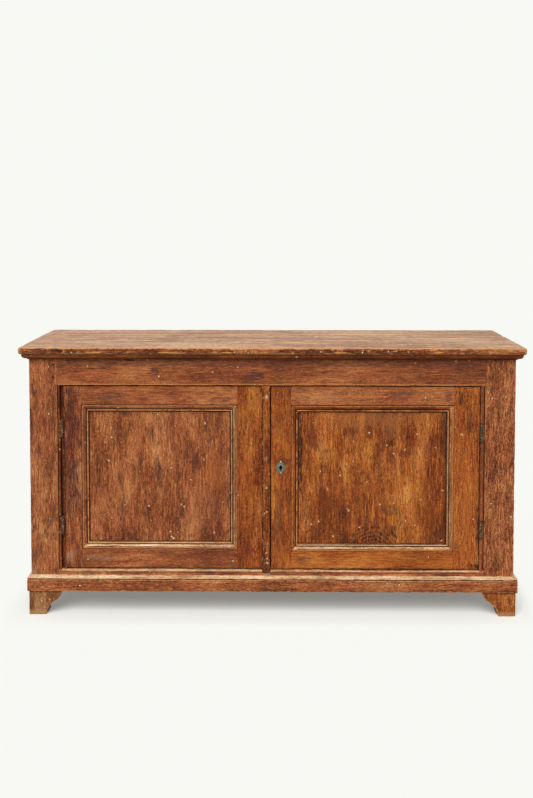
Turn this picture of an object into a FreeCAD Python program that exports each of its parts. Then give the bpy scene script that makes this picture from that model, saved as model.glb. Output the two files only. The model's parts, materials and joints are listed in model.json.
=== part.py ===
import FreeCAD, Part
import math
import os

# Two-door buffet cabinet in old stained softwood, on bracket feet.
# Millimetres. X runs to the right along the front, Y to the back and Z up.
# The origin is on the floor, below the middle of the top.

Vector = FreeCAD.Vector

# Overall size
TOP_WIDTH = 1960.0
TOP_DEPTH = 560.0
HEIGHT = 1060.0

# Top and cornice
TOP_THICKNESS = 28.0
TOP_OVERHANG = 34.0
TOP_BACK_OVERHANG = 8.0
TOP_NOSE_RADIUS = 10.0
TOP_ARRIS_RADIUS = 5.5
TOP_CORNER_RADIUS = 5.0
FRONT_TOP_BOARD = 305.0
BATTEN_WIDTH = 70.0
BATTEN_THICKNESS = 22.0
BATTEN_PITCH = 480.0
CORNICE_HEIGHT = 21.5
CORNICE_PROJECTION = 24.0
CORNICE_LIP = 4.0
CORNICE_FILLET = 6.0
CORNICE_FILLET_HEIGHT = 4.5
CORNICE_STEP = 2.0

# Front frame
FRAME_THICKNESS = 34.0
LEFT_POST_WIDTH = 108.0
RIGHT_POST_WIDTH = 116.5
FRIEZE_BOTTOM = 909.0
SILL_TOP = 177.0
SILL_NOSE = 9.0
SILL_QUIRK = 2.5
FRAME_TENON = 52.0
FRAME_TENON_THICKNESS = 12.0
FRAME_TENON_SHOULDER = 11.0
PEG_RADIUS = 4.8
PEG_SIDES = 8
PEG_SETBACK = 14.0
PEG_SINK = 0.6
PEG_SHARES = (0.3, 0.78)
PEG_END_COVER = 5.0

# Bead strips beside the doors
BEAD_QUIRK = 2.0
BEAD_DROP = 1.0
LEFT_BEAD_WIDTH = 9.0
LEFT_STRIP_RECESS = 16.0

# Sides, back, floor and shelf
SIDE_THICKNESS = 24.0
SIDE_JOINT_Y = 32.0
TONGUE = 8.0
BACK_THICKNESS = 16.0
BACK_HOUSING = 12.0
BACK_BOARDS = 4
BACK_LAP = 8.0
BACK_BOTTOM_GAP = 6.0
FLOOR_TOP = 150.0
BOARD_THICKNESS = 22.0
FLOOR_HOUSING = 8.0
FLOOR_TONGUE = 10.0
SHELF_TOP = 570.0
SHELF_SETBACK = 66.0
SHELF_PLAY = 1.0
CLEAT = 20.0
CLEAT_HEIGHT = 26.0
REAR_RAIL_HEIGHT = 70.0

# Base
FOOT_HEIGHT = 96.0
PLINTH_TOP = 158.0
PLINTH_PROJECTION = 14.0
PLINTH_ROUND = 12.0
PLINTH_QUIRK = 3.8
FOOT_INSET = 6.0
FOOT_THICKNESS = 28.0
FOOT_WIDTH = 129.0
FOOT_TOE = 66.0
FOOT_SWELL = (120.0, 70.0)
FOOT_TURN = (97.0, 52.0)
FOOT_HOLLOW = (77.0, 30.0)
FOOT_BLOCK = 40.0

# Doors
DOOR_RECESS = 8.0
DOOR_THICKNESS = 25.5
DOOR_TOP_GAP = 3.0
LEFT_DOOR_BOTTOM = 182.0
RIGHT_DOOR_BOTTOM = 179.5
LEFT_DOOR_EDGE = -6.5
RIGHT_DOOR_EDGE = -3.5
LEFT_OPENING = (-746.0, -134.0, 257.0, 831.0)
RIGHT_OPENING = (75.0, 712.0, 249.0, 830.0)
DOOR_TENON = 46.0
DOOR_TENON_SHOULDER = 12.0
PANEL_RECESS = 14.0
PANEL_THICKNESS = 9.0
PANEL_GROOVE = 9.0
PANEL_PLAY = 1.0
MOULDING_WIDTH = 28.0
MOULDING_QUIRK = 3.4
MOULDING_DROP = 1.0
OVOLO_END = (18.5, 4.6)
OVOLO_SWELL = (12.5, 11.6)
REED_START = 19.8
REED_CREST = (23.6, 8.0)
REED_END = (26.6, 4.2)
STRIP_WIDTH = 31.5
STRIP_THICKNESS = 14.0
STRIP_ROUND = 5.0
STRIP_BOTTOM = 172.0
STRIP_CLEARANCE = 0.6
STOP_WIDTH = 60.0
STOP_DEPTH = 22.0
STOP_DROP = 16.0
STOP_RISE = 40.0
STOP_CENTRE = 150.0

# Hinges
LEFT_HINGE_X = -820.5
RIGHT_HINGE_X = 817.0
HINGE_FRONT = 3.0
HINGE_HEIGHT = 70.0
LEFT_HINGE_CENTRES = (738.0, 354.0)
RIGHT_HINGE_CENTRES = (723.0, 339.0)
KNUCKLES = 3
KNUCKLE_GAP = 0.4
BARREL_RADIUS = 6.0
PIN_RADIUS = 2.5
PIN_CLEARANCE = 0.06
PIN_PROUD = 2.0
LEAF_DEPTH = 22.0
LEAF_THICKNESS = 2.0
POST_LEAF = 3.0
DOOR_LEAF = 5.2
STRIP_FACE = 4.5
DOOR_EDGE = 6.0
HINGE_NOTCH = 7.0

# Lock and escutcheon
KEYHOLE_X = 35.0
KEYHOLE_Z = 584.0
KEYHOLE_RADIUS = 5.0
KEYHOLE_STRAIGHT = 7.0
ESCUTCHEON_WIDTH = 44.5
ESCUTCHEON_HEIGHT = 59.5
ESCUTCHEON_THICKNESS = 1.8
ESCUTCHEON_BEVEL = 0.9
ESCUTCHEON_RIM = 4.0
ESCUTCHEON_RIM_HEIGHT = 0.9
LOCK_LEFT = -2.5
LOCK_WIDTH = 74.0
LOCK_HEIGHT = 80.0
LOCK_DEPTH = 14.0
LOCK_WALL = 2.0
LOCK_BOLT_LENGTH = 52.0
LOCK_BOLT_HEIGHT = 15.0
LOCK_BOLT_THICKNESS = 7.0
LOCK_BOLT_RISE = 22.0
SLIDING_GAP = 0.4

# Slide bolts inside the left door
BOLT_X = -72.0
BOLT_WIDTH = 12.0
BOLT_THICKNESS = 6.0
BOLT_LENGTH = 112.0
BOLT_SETBACK = 3.5
BOLT_PLATE_WIDTH = 26.0
BOLT_PLATE_HEIGHT = 84.0
BOLT_PLATE_SETBACK = 18.0
STAPLE_HEIGHT = 8.0
STAPLE_INSET = 8.0
STAPLE_WALL = 2.0
BOLT_KNOB_RADIUS = 5.0
BOLT_KNOB_NECK = 2.5
BOLT_KNOB_LENGTH = 11.0
BOLT_KNOB_CHAMFER = 2.0

# Planes shared by many pieces
FRONT = TOP_OVERHANG - TOP_DEPTH / 2
BACK = TOP_DEPTH / 2 - TOP_BACK_OVERHANG
HALF = TOP_WIDTH / 2 - TOP_OVERHANG
TOP_UNDER = HEIGHT - TOP_THICKNESS
FRAME_BACK = FRONT + FRAME_THICKNESS
LEFT_POST = LEFT_POST_WIDTH - HALF
RIGHT_POST = HALF - RIGHT_POST_WIDTH
BACK_FACE = BACK - BACK_THICKNESS
SIDE_FACE = HALF - SIDE_THICKNESS
FLOOR_UNDER = FLOOR_TOP - BOARD_THICKNESS
SHELF_UNDER = SHELF_TOP - BOARD_THICKNESS
DOOR_FRONT = FRONT + DOOR_RECESS
DOOR_BACK = DOOR_FRONT + DOOR_THICKNESS
DOOR_TOP = FRIEZE_BOTTOM - DOOR_TOP_GAP
PANEL_FRONT = DOOR_FRONT + PANEL_RECESS
PANEL_BACK = PANEL_FRONT + PANEL_THICKNESS
HINGE_Y = FRONT + HINGE_FRONT
MARGIN = 5.0
DIAGONAL = 0.5 ** 0.5

pieces = {}


def box(x0, x1, y0, y1, z0, z1):
    return Part.makeBox(x1 - x0, y1 - y0, z1 - z0, Vector(x0, y0, z0))


def cylinder(radius, start, along, length):
    return Part.makeCylinder(radius, length, start, along)


def section(place, start, *steps):
    """Flat face whose outline goes from corner to corner; a pair of points is an arc."""
    edges = []
    here = start
    for step in steps:
        if isinstance(step[0], tuple):
            through, end = step
            arc = Part.Arc(place(*here), place(*through), place(*end))
            edges.append(arc.toShape())
        else:
            end = step
            edges.append(Part.makeLine(place(*here), place(*end)))
        here = end
    if here != start:
        edges.append(Part.makeLine(place(*here), place(*start)))
    return Part.Face(Part.Wire(edges))


def group(solids):
    return Part.makeCompound(solids)


# Top: two wide boards with one rounded nose along the front and both ends

def top_slab():
    slab = box(-TOP_WIDTH / 2, TOP_WIDTH / 2, -TOP_DEPTH / 2, TOP_DEPTH / 2, TOP_UNDER, HEIGHT)

    def upright_front(edge):
        low = edge.BoundBox
        return low.ZLength > 1 and low.YMax < 0

    def rim(height):
        return [edge for edge in slab.Edges if edge.BoundBox.YMin < TOP_DEPTH / 2 - 1
                and abs(edge.BoundBox.ZMin - height) < 1 and abs(edge.BoundBox.ZMax - height) < 1]

    slab = slab.makeFillet(TOP_CORNER_RADIUS, [edge for edge in slab.Edges if upright_front(edge)])
    slab = slab.makeFillet(TOP_NOSE_RADIUS, rim(TOP_UNDER))
    return slab.makeFillet(TOP_ARRIS_RADIUS, rim(HEIGHT))


def build_top():
    joint = FRONT_TOP_BOARD - TOP_DEPTH / 2
    half = TOP_WIDTH / 2 + MARGIN
    slab = top_slab()
    front_half = box(-half, half, -TOP_DEPTH, joint, 0, HEIGHT + MARGIN)
    pieces["top_board_front"] = slab.common(front_half)
    pieces["top_board_rear"] = slab.cut(front_half)
    rail_front = BACK_FACE - CLEAT
    pieces["rear_rail"] = box(-SIDE_FACE, SIDE_FACE, rail_front, BACK_FACE,
                              TOP_UNDER - REAR_RAIL_HEIGHT, TOP_UNDER)
    pieces["top_battens"] = group([
        box(step * BATTEN_PITCH - BATTEN_WIDTH / 2, step * BATTEN_PITCH + BATTEN_WIDTH / 2,
            FRAME_BACK, rail_front, TOP_UNDER - BATTEN_THICKNESS, TOP_UNDER)
        for step in (-1, 0, 1)])


# Mouldings that go round the front and both ends, mitred at the front corners

def girdle(name, reach, start, *steps):
    far = HALF + reach
    ahead = FRONT - reach
    plans = {
        "front": [(-far, ahead), (far, ahead), (HALF, FRONT), (-HALF, FRONT)],
        "left": [(-far, ahead), (-HALF, FRONT), (-HALF, BACK), (-far, BACK)],
        "right": [(far, ahead), (HALF, FRONT), (HALF, BACK), (far, BACK)],
    }
    runs = {
        "front": (lambda out, z: Vector(-far, FRONT - out, z), Vector(2 * far, 0, 0)),
        "left": (lambda out, z: Vector(-HALF - out, ahead, z), Vector(0, BACK - ahead, 0)),
        "right": (lambda out, z: Vector(HALF + out, ahead, z), Vector(0, BACK - ahead, 0)),
    }
    for side, (place, along) in runs.items():
        run = section(place, start, *steps).extrude(along)
        plan = section(lambda x, y: Vector(x, y, 0), *plans[side])
        pieces[name + "_" + side] = run.common(plan.extrude(Vector(0, 0, HEIGHT)))


def build_cornice():
    foot = TOP_UNDER - CORNICE_HEIGHT
    ledge = foot + CORNICE_FILLET_HEIGHT
    lip = TOP_UNDER - CORNICE_LIP
    inner = CORNICE_FILLET + CORNICE_STEP
    middle = (inner + DIAGONAL * (CORNICE_PROJECTION - inner), lip - DIAGONAL * (lip - ledge))
    girdle("cornice", CORNICE_PROJECTION + MARGIN,
           (0, TOP_UNDER), (CORNICE_PROJECTION, TOP_UNDER), (CORNICE_PROJECTION, lip),
           (middle, (inner, ledge)), (CORNICE_FILLET, ledge), (CORNICE_FILLET, foot), (0, foot))


def build_plinth():
    spring = PLINTH_TOP - PLINTH_ROUND
    inner = PLINTH_PROJECTION - PLINTH_ROUND
    bend = DIAGONAL * PLINTH_ROUND
    girdle("plinth", PLINTH_PROJECTION + MARGIN,
           (0, FOOT_HEIGHT), (PLINTH_PROJECTION, FOOT_HEIGHT),
           (PLINTH_PROJECTION, spring - PLINTH_QUIRK),
           (PLINTH_PROJECTION - PLINTH_QUIRK, spring - PLINTH_QUIRK / 2),
           (PLINTH_PROJECTION, spring),
           ((inner + bend, spring + bend), (inner, PLINTH_TOP)), (0, PLINTH_TOP))


# Front frame: posts, frieze rail and sill rail, tenoned and pegged

def tenons(z0, z1):
    back = FRONT + (FRAME_THICKNESS + FRAME_TENON_THICKNESS) / 2
    front = back - FRAME_TENON_THICKNESS
    low = z0 + FRAME_TENON_SHOULDER
    high = z1 - FRAME_TENON_SHOULDER
    return [box(LEFT_POST - FRAME_TENON, LEFT_POST, front, back, low, high),
            box(RIGHT_POST, RIGHT_POST + FRAME_TENON, front, back, low, high)]


def whittled_peg(x, z, front):
    """Peg cut to eight sides with a knife and driven in from the front, or the hole that it fills."""
    turn = 2 * math.pi / PEG_SIDES
    rim = [Vector(x + PEG_RADIUS * math.cos((side + 0.5) * turn), FRONT + front,
                  z + PEG_RADIUS * math.sin((side + 0.5) * turn))
           for side in range(PEG_SIDES + 1)]
    length = FRAME_THICKNESS - front - PEG_END_COVER
    return Part.Face(Part.makePolygon(rim)).extrude(Vector(0, length, 0))


def frame_pegs(front):
    places = []
    for z0, z1 in ((FRIEZE_BOTTOM, TOP_UNDER - CORNICE_HEIGHT), (FOOT_HEIGHT, PLINTH_TOP)):
        for share in PEG_SHARES:
            height = z0 + share * (z1 - z0)
            places.append((LEFT_POST - PEG_SETBACK, height))
            places.append((RIGHT_POST + PEG_SETBACK, height))
    return [whittled_peg(x, z, front) for x, z in places]


def sill_body():
    quirk_top = SILL_TOP - SILL_NOSE
    bend = DIAGONAL * SILL_NOSE
    nose_back = FRONT + SILL_NOSE
    face = section(lambda y, z: Vector(LEFT_POST, y, z),
                   (FRAME_BACK, FOOT_HEIGHT), (FRONT, FOOT_HEIGHT),
                   (FRONT, quirk_top - SILL_QUIRK), (FRONT + SILL_QUIRK, quirk_top - SILL_QUIRK / 2),
                   (FRONT, quirk_top),
                   ((nose_back - bend, quirk_top + bend), (nose_back, SILL_TOP)),
                   (FRAME_BACK, SILL_TOP))
    return face.extrude(Vector(RIGHT_POST - LEFT_POST, 0, 0))


def build_front_frame():
    posts = {"front_post_left": (-HALF, LEFT_POST), "front_post_right": (RIGHT_POST, HALF)}
    frieze = box(LEFT_POST, RIGHT_POST, FRONT, FRAME_BACK, FRIEZE_BOTTOM, TOP_UNDER)
    sill_groove = box(-HALF, HALF, FRAME_BACK - FLOOR_HOUSING, FRAME_BACK,
                      FLOOR_UNDER + (BOARD_THICKNESS - FLOOR_TONGUE) / 2,
                      FLOOR_TOP - (BOARD_THICKNESS - FLOOR_TONGUE) / 2)
    rails = {
        "frieze_rail": frieze.multiFuse(tenons(FRIEZE_BOTTOM, TOP_UNDER)),
        "sill_rail": sill_body().cut(sill_groove).multiFuse(tenons(FOOT_HEIGHT, SILL_TOP)),
    }
    holes = frame_pegs(-MARGIN)
    for name, rail in rails.items():
        pieces[name] = rail.removeSplitter().cut(holes)
    for name, (x0, x1) in posts.items():
        post = box(x0, x1, FRONT, FRAME_BACK, FOOT_HEIGHT, TOP_UNDER)
        pieces[name] = post.cut(list(rails.values()) + holes)
    pieces["frame_pegs"] = group(frame_pegs(PEG_SINK))


# Bead strips that fill the jambs between post and door, cut away for the hinges

def bead_face(edge, toward, bead_width, jamb, recess):
    """Cross-section from the post's edge towards the door, with a quirk and a round bead."""
    crest = FRONT + BEAD_DROP
    radius = bead_width / 2
    spring = crest + radius
    near = BEAD_QUIRK
    far = BEAD_QUIRK + bead_width
    corners = [(0, FRAME_BACK), (0, spring), (near, spring),
               ((near + radius, crest), (far, spring))]
    if recess:
        corners += [(far, crest + recess), (jamb, crest + recess)]
    corners += [(jamb, FRAME_BACK)]
    return section(lambda out, y: Vector(edge + toward * out, y, SILL_TOP - SILL_NOSE), *corners)


def hinge_notches(axis_x, toward, centres):
    reach = LEFT_POST_WIDTH
    x0, x1 = sorted((axis_x - toward * reach, axis_x + toward * reach))
    half = HINGE_HEIGHT / 2 + PIN_PROUD + KNUCKLE_GAP
    return [box(x0, x1, FRONT - MARGIN, HINGE_Y + HINGE_NOTCH, z - half, z + half) for z in centres]


def build_bead_strips():
    strips = (
        ("bead_strip_left", LEFT_POST, 1, LEFT_HINGE_X, LEFT_HINGE_CENTRES,
         LEFT_BEAD_WIDTH, LEFT_STRIP_RECESS),
        ("bead_strip_right", RIGHT_POST, -1, RIGHT_HINGE_X, RIGHT_HINGE_CENTRES, None, 0),
    )
    for name, edge, toward, axis_x, centres, bead_width, recess in strips:
        jamb = toward * (axis_x - edge) + STRIP_FACE
        width = bead_width or jamb - BEAD_QUIRK
        strip = bead_face(edge, toward, width, jamb, recess)
        strip = strip.extrude(Vector(0, 0, FRIEZE_BOTTOM - SILL_TOP + SILL_NOSE)).cut(sill_body())
        leaves = [hinge_leaf(axis_x, toward, z, POST_LEAF, 0) for z in centres]
        pieces[name] = strip.cut(hinge_notches(axis_x, toward, centres) + leaves)


# Butt hinges: a leaf on the jamb, a leaf on the door and a loose pin

def knuckle_spans(centre, first):
    pitch = HINGE_HEIGHT / KNUCKLES
    low = centre - HINGE_HEIGHT / 2
    return [(low + index * pitch, low + (index + 1) * pitch)
            for index in range(first, KNUCKLES, 2)]


def hinge_leaf(axis_x, toward, centre, setoff, first):
    """One leaf; setoff is its distance from the pin, first is its lowest knuckle."""
    up = Vector(0, 0, 1)
    x0, x1 = sorted((axis_x + toward * setoff, axis_x + toward * (setoff + LEAF_THICKNESS)))
    low = centre - HINGE_HEIGHT / 2
    leaf = box(x0, x1, HINGE_Y, HINGE_Y + LEAF_DEPTH, low, low + HINGE_HEIGHT)
    gaps = [cylinder(BARREL_RADIUS + KNUCKLE_GAP, Vector(axis_x, HINGE_Y, z0 - KNUCKLE_GAP), up,
                     z1 - z0 + 2 * KNUCKLE_GAP)
            for z0, z1 in knuckle_spans(centre, 1 - first)]
    trim = KNUCKLE_GAP / 2
    barrels = [cylinder(BARREL_RADIUS, Vector(axis_x, HINGE_Y, z0 + trim), up, z1 - z0 - 2 * trim)
               for z0, z1 in knuckle_spans(centre, first)]
    play = PIN_CLEARANCE if first else 0
    bore = cylinder(PIN_RADIUS + play, Vector(axis_x, HINGE_Y, low - MARGIN), up,
                    HINGE_HEIGHT + 2 * MARGIN)
    return leaf.cut(gaps).multiFuse(barrels).cut(bore).removeSplitter()


def hinge_pin(axis_x, centre):
    length = HINGE_HEIGHT + 2 * PIN_PROUD
    return cylinder(PIN_RADIUS, Vector(axis_x, HINGE_Y, centre - length / 2), Vector(0, 0, 1), length)


def build_hinges():
    sides = (("left", LEFT_HINGE_X, 1, LEFT_HINGE_CENTRES),
             ("right", RIGHT_HINGE_X, -1, RIGHT_HINGE_CENTRES))
    jamb_leaves = []
    pins = []
    for name, axis_x, toward, centres in sides:
        jamb_leaves += [hinge_leaf(axis_x, toward, z, POST_LEAF, 0) for z in centres]
        door_leaves = [hinge_leaf(axis_x, toward, z, DOOR_LEAF, 1) for z in centres]
        pins += [hinge_pin(axis_x, z) for z in centres]
        pieces["hinge_door_leaves_" + name] = group(door_leaves)
        stile = name + "_door_hinge_stile"
        pieces[stile] = pieces[stile].cut(door_leaves)
    pieces["hinge_jamb_leaves"] = group(jamb_leaves)
    pieces["hinge_pins"] = group(pins)


# Sides, back, floor and shelf

def build_sides():
    floor_slot = box(-SIDE_FACE - FLOOR_HOUSING, SIDE_FACE + FLOOR_HOUSING, FRAME_BACK, BACK_FACE,
                     FLOOR_UNDER, FLOOR_TOP)
    back_slot = box(-SIDE_FACE - BACK_HOUSING, SIDE_FACE + BACK_HOUSING, BACK_FACE, BACK,
                    FOOT_HEIGHT, TOP_UNDER)
    for name, x0 in (("left", -HALF), ("right", SIDE_FACE)):
        x1 = x0 + SIDE_THICKNESS
        third = SIDE_THICKNESS / 3
        tongue = box(x0 + third, x1 - third, SIDE_JOINT_Y - TONGUE, SIDE_JOINT_Y, FOOT_HEIGHT, TOP_UNDER)
        front = box(x0, x1, FRAME_BACK, SIDE_JOINT_Y, FOOT_HEIGHT, TOP_UNDER)
        rear = box(x0, x1, SIDE_JOINT_Y, BACK, FOOT_HEIGHT, TOP_UNDER).fuse(tongue)
        pieces["side_" + name + "_front_board"] = front.cut([tongue, floor_slot])
        pieces["side_" + name + "_rear_board"] = rear.cut([floor_slot, back_slot]).removeSplitter()


def build_back():
    half = SIDE_FACE + BACK_HOUSING
    low = FOOT_HEIGHT + BACK_BOTTOM_GAP
    pitch = (TOP_UNDER - low) / BACK_BOARDS
    middle = BACK - BACK_THICKNESS / 2
    for index in range(BACK_BOARDS):
        z0 = low + index * pitch
        z1 = z0 + pitch
        inner_z0 = z0 + BACK_LAP if index else z0
        inner_z1 = z1 + BACK_LAP if index < BACK_BOARDS - 1 else z1
        inner = box(-half, half, BACK_FACE, middle, inner_z0, inner_z1)
        outer = box(-half, half, middle, BACK, z0, z1)
        pieces["back_board_" + str(index + 1)] = inner.fuse(outer).removeSplitter()


def build_floor():
    half = SIDE_FACE + FLOOR_HOUSING
    joint = (FRAME_BACK + BACK_FACE) / 2
    spare = (BOARD_THICKNESS - FLOOR_TONGUE) / 2
    tongue = box(LEFT_POST, RIGHT_POST, FRAME_BACK - FLOOR_HOUSING, FRAME_BACK,
                 FLOOR_UNDER + spare, FLOOR_TOP - spare)
    front = box(-half, half, FRAME_BACK, joint, FLOOR_UNDER, FLOOR_TOP)
    pieces["floor_board_front"] = front.fuse(tongue).removeSplitter()
    pieces["floor_board_rear"] = box(-half, half, joint, BACK_FACE, FLOOR_UNDER, FLOOR_TOP)


def build_shelf():
    front = FRONT + SHELF_SETBACK
    half = SIDE_FACE - SHELF_PLAY
    pieces["shelf"] = box(-half, half, front, BACK_FACE, SHELF_UNDER, SHELF_TOP)
    low = SHELF_UNDER - CLEAT_HEIGHT
    inner = SIDE_FACE - CLEAT
    rear = BACK_FACE - CLEAT
    pieces["shelf_cleats"] = group([
        box(-SIDE_FACE, -inner, front + CLEAT, rear, low, SHELF_UNDER),
        box(inner, SIDE_FACE, front + CLEAT, rear, low, SHELF_UNDER),
        box(-SIDE_FACE, SIDE_FACE, rear, BACK_FACE, low, SHELF_UNDER)])


# Bracket feet: shaped boards mitred at the front corners, with blocks behind

def foot_face(place):
    """Bracket outline from its outer edge, with a double curve down to the toe."""
    return section(place, (0, 0), (0, FOOT_HEIGHT), (FOOT_WIDTH, FOOT_HEIGHT),
                   (FOOT_SWELL, FOOT_TURN), (FOOT_HOLLOW, (FOOT_TOE, 0)))


def build_feet():
    side_out = HALF + PLINTH_PROJECTION - FOOT_INSET
    front_out = FRONT - PLINTH_PROJECTION + FOOT_INSET
    side_in = side_out - FOOT_THICKNESS
    front_in = front_out + FOOT_THICKNESS
    blocks = []
    for name, sign in (("left", -1), ("right", 1)):
        corner = sign * side_out
        inner = sign * side_in
        face = foot_face(lambda along, z: Vector(corner - sign * along, front_out, z))
        face = face.extrude(Vector(0, FOOT_THICKNESS, 0))
        side = foot_face(lambda along, z: Vector(corner, front_out + along, z))
        side = side.extrude(Vector(-sign * FOOT_THICKNESS, 0, 0))
        mitre = section(lambda x, y: Vector(x, y, 0),
                        (corner, front_out), (inner, front_in), (corner, front_in))
        mitre = mitre.extrude(Vector(0, 0, FOOT_HEIGHT))
        rear = foot_face(lambda along, z: Vector(corner, BACK - along, z))
        pieces["foot_front_" + name + "_face"] = face.cut(mitre)
        pieces["foot_front_" + name + "_side"] = side.common(mitre).fuse(
            side.cut(box(-side_out, side_out, front_out, front_in, 0, FOOT_HEIGHT))).removeSplitter()
        pieces["foot_rear_" + name] = rear.extrude(Vector(-sign * FOOT_THICKNESS, 0, 0))
        x0, x1 = sorted((inner, inner - sign * FOOT_BLOCK))
        blocks.append(box(x0, x1, front_in, front_in + FOOT_BLOCK, 0, FOOT_HEIGHT))
        blocks.append(box(x0, x1, BACK - FOOT_BLOCK, BACK, 0, FOOT_HEIGHT))
    pieces["foot_blocks"] = group(blocks)


# Doors: tenoned frames round a loose panel, with reeded mouldings mitred inside

def reeded_bar(place, along):
    """Moulding section from the frame's edge out over the panel: ovolo, quirk and small bead."""
    high = PANEL_RECESS
    sunk = high - MOULDING_QUIRK
    return section(place, (0, 0), (0, sunk), (MOULDING_QUIRK, sunk),
                   (MOULDING_QUIRK, high - MOULDING_DROP), (OVOLO_SWELL, OVOLO_END),
                   (REED_START, OVOLO_END[1]), (REED_CREST, REED_END),
                   (MOULDING_WIDTH, REED_END[1]), (MOULDING_WIDTH, 0)).extrude(along)


def door_mouldings(opening):
    x0, x1, z0, z1 = opening
    wide = Vector(x1 - x0, 0, 0)
    tall = Vector(0, 0, z1 - z0)
    inner_x0 = x0 + MOULDING_WIDTH
    inner_x1 = x1 - MOULDING_WIDTH
    inner_z0 = z0 + MOULDING_WIDTH
    inner_z1 = z1 - MOULDING_WIDTH
    lengths = (
        (lambda a, h: Vector(x0, PANEL_FRONT - h, z1 - a), wide,
         [(x0, z1), (x1, z1), (inner_x1, inner_z1), (inner_x0, inner_z1)]),
        (lambda a, h: Vector(x0, PANEL_FRONT - h, z0 + a), wide,
         [(x0, z0), (x1, z0), (inner_x1, inner_z0), (inner_x0, inner_z0)]),
        (lambda a, h: Vector(x0 + a, PANEL_FRONT - h, z0), tall,
         [(x0, z0), (inner_x0, inner_z0), (inner_x0, inner_z1), (x0, z1)]),
        (lambda a, h: Vector(x1 - a, PANEL_FRONT - h, z0), tall,
         [(x1, z0), (inner_x1, inner_z0), (inner_x1, inner_z1), (x1, z1)]),
    )
    solids = []
    for place, along, plan in lengths:
        mitre = section(lambda x, z: Vector(x, FRONT, z), *plan)
        solids.append(reeded_bar(place, along).common(mitre.extrude(Vector(0, FRAME_THICKNESS, 0))))
    return solids


def build_door(side, x0, x1, z0, opening):
    """Frame, panel and mouldings between x0 and x1; the left and right stiles take the rails."""
    open_x0, open_x1, open_z0, open_z1 = opening
    y0, y1 = DOOR_FRONT, DOOR_BACK
    groove = box(open_x0 - PANEL_GROOVE, open_x1 + PANEL_GROOVE, PANEL_FRONT, PANEL_BACK,
                 open_z0 - PANEL_GROOVE, open_z1 + PANEL_GROOVE)
    rails = {
        "_door_top_rail": (open_z1, DOOR_TOP, open_z1 + PANEL_GROOVE, DOOR_TOP - DOOR_TENON_SHOULDER),
        "_door_bottom_rail": (z0, open_z0, z0 + DOOR_TENON_SHOULDER, open_z0 - PANEL_GROOVE),
    }
    made_rails = []
    for name, (low, high, tenon_low, tenon_high) in rails.items():
        rail = box(open_x0, open_x1, y0, y1, low, high).cut(groove)
        tenon = box(open_x0 - DOOR_TENON, open_x1 + DOOR_TENON, PANEL_FRONT, PANEL_BACK,
                    tenon_low, tenon_high)
        rail = rail.fuse(tenon).removeSplitter()
        pieces[side + name] = rail
        made_rails.append(rail)
    hinge_name, meeting_name = side + "_door_hinge_stile", side + "_door_meeting_stile"
    low_name, high_name = (hinge_name, meeting_name) if side == "left" else (meeting_name, hinge_name)
    pieces[low_name] = box(x0, open_x0, y0, y1, z0, DOOR_TOP).cut([groove] + made_rails)
    pieces[high_name] = box(open_x1, x1, y0, y1, z0, DOOR_TOP).cut([groove] + made_rails)
    tuck = PANEL_GROOVE - PANEL_PLAY
    pieces[side + "_door_panel"] = box(open_x0 - tuck, open_x1 + tuck, PANEL_FRONT, PANEL_BACK,
                                       open_z0 - tuck, open_z1 + tuck)
    pieces[side + "_door_moulding"] = group(door_mouldings(opening))


def build_meeting_strip():
    x1 = LEFT_DOOR_EDGE
    x0 = x1 - STRIP_WIDTH
    face_y = DOOR_FRONT - STRIP_THICKNESS
    bend = (1 - DIAGONAL) * STRIP_ROUND
    face = section(lambda x, y: Vector(x, y, STRIP_BOTTOM),
                   (x0, DOOR_FRONT), (x0, face_y + STRIP_ROUND),
                   ((x0 + bend, face_y + bend), (x0 + STRIP_ROUND, face_y)),
                   (x1 - STRIP_ROUND, face_y),
                   ((x1 - bend, face_y + bend), (x1, face_y + STRIP_ROUND)), (x1, DOOR_FRONT))
    strip = face.extrude(Vector(0, 0, DOOR_TOP - STRIP_BOTTOM))
    over_sill = box(x0 - MARGIN, x1 + MARGIN, FRONT - STRIP_CLEARANCE, DOOR_FRONT + MARGIN,
                    STRIP_BOTTOM - MARGIN, LEFT_DOOR_BOTTOM)
    pieces["meeting_strip"] = strip.cut(over_sill)


def build_door_stops():
    pieces["door_stops"] = group([
        box(centre - STOP_WIDTH / 2, centre + STOP_WIDTH / 2, FRAME_BACK, FRAME_BACK + STOP_DEPTH,
            FRIEZE_BOTTOM - STOP_DROP, FRIEZE_BOTTOM + STOP_RISE)
        for centre in (-STOP_CENTRE, STOP_CENTRE)])


# Lock on the right door: diamond escutcheon, keyhole, case and bolt

def keyhole(y0, y1, grow=0.0):
    radius = KEYHOLE_RADIUS + grow
    half = KEYHOLE_STRAIGHT / 2
    face = section(lambda x, z: Vector(KEYHOLE_X + x, y0, KEYHOLE_Z + z),
                   (-radius, -half), (-radius, half), ((0, half + radius), (radius, half)),
                   (radius, -half), ((0, -half - radius), (-radius, -half)))
    return face.extrude(Vector(0, y1 - y0, 0))


def diamond(y, trim):
    share = 1 - 2 * trim / ESCUTCHEON_WIDTH
    half_x = share * ESCUTCHEON_WIDTH / 2
    half_z = share * ESCUTCHEON_HEIGHT / 2
    corners = [(-half_x, 0), (0, half_z), (half_x, 0), (0, -half_z), (-half_x, 0)]
    return Part.makePolygon([Vector(KEYHOLE_X + x, y, KEYHOLE_Z + z) for x, z in corners])


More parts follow.
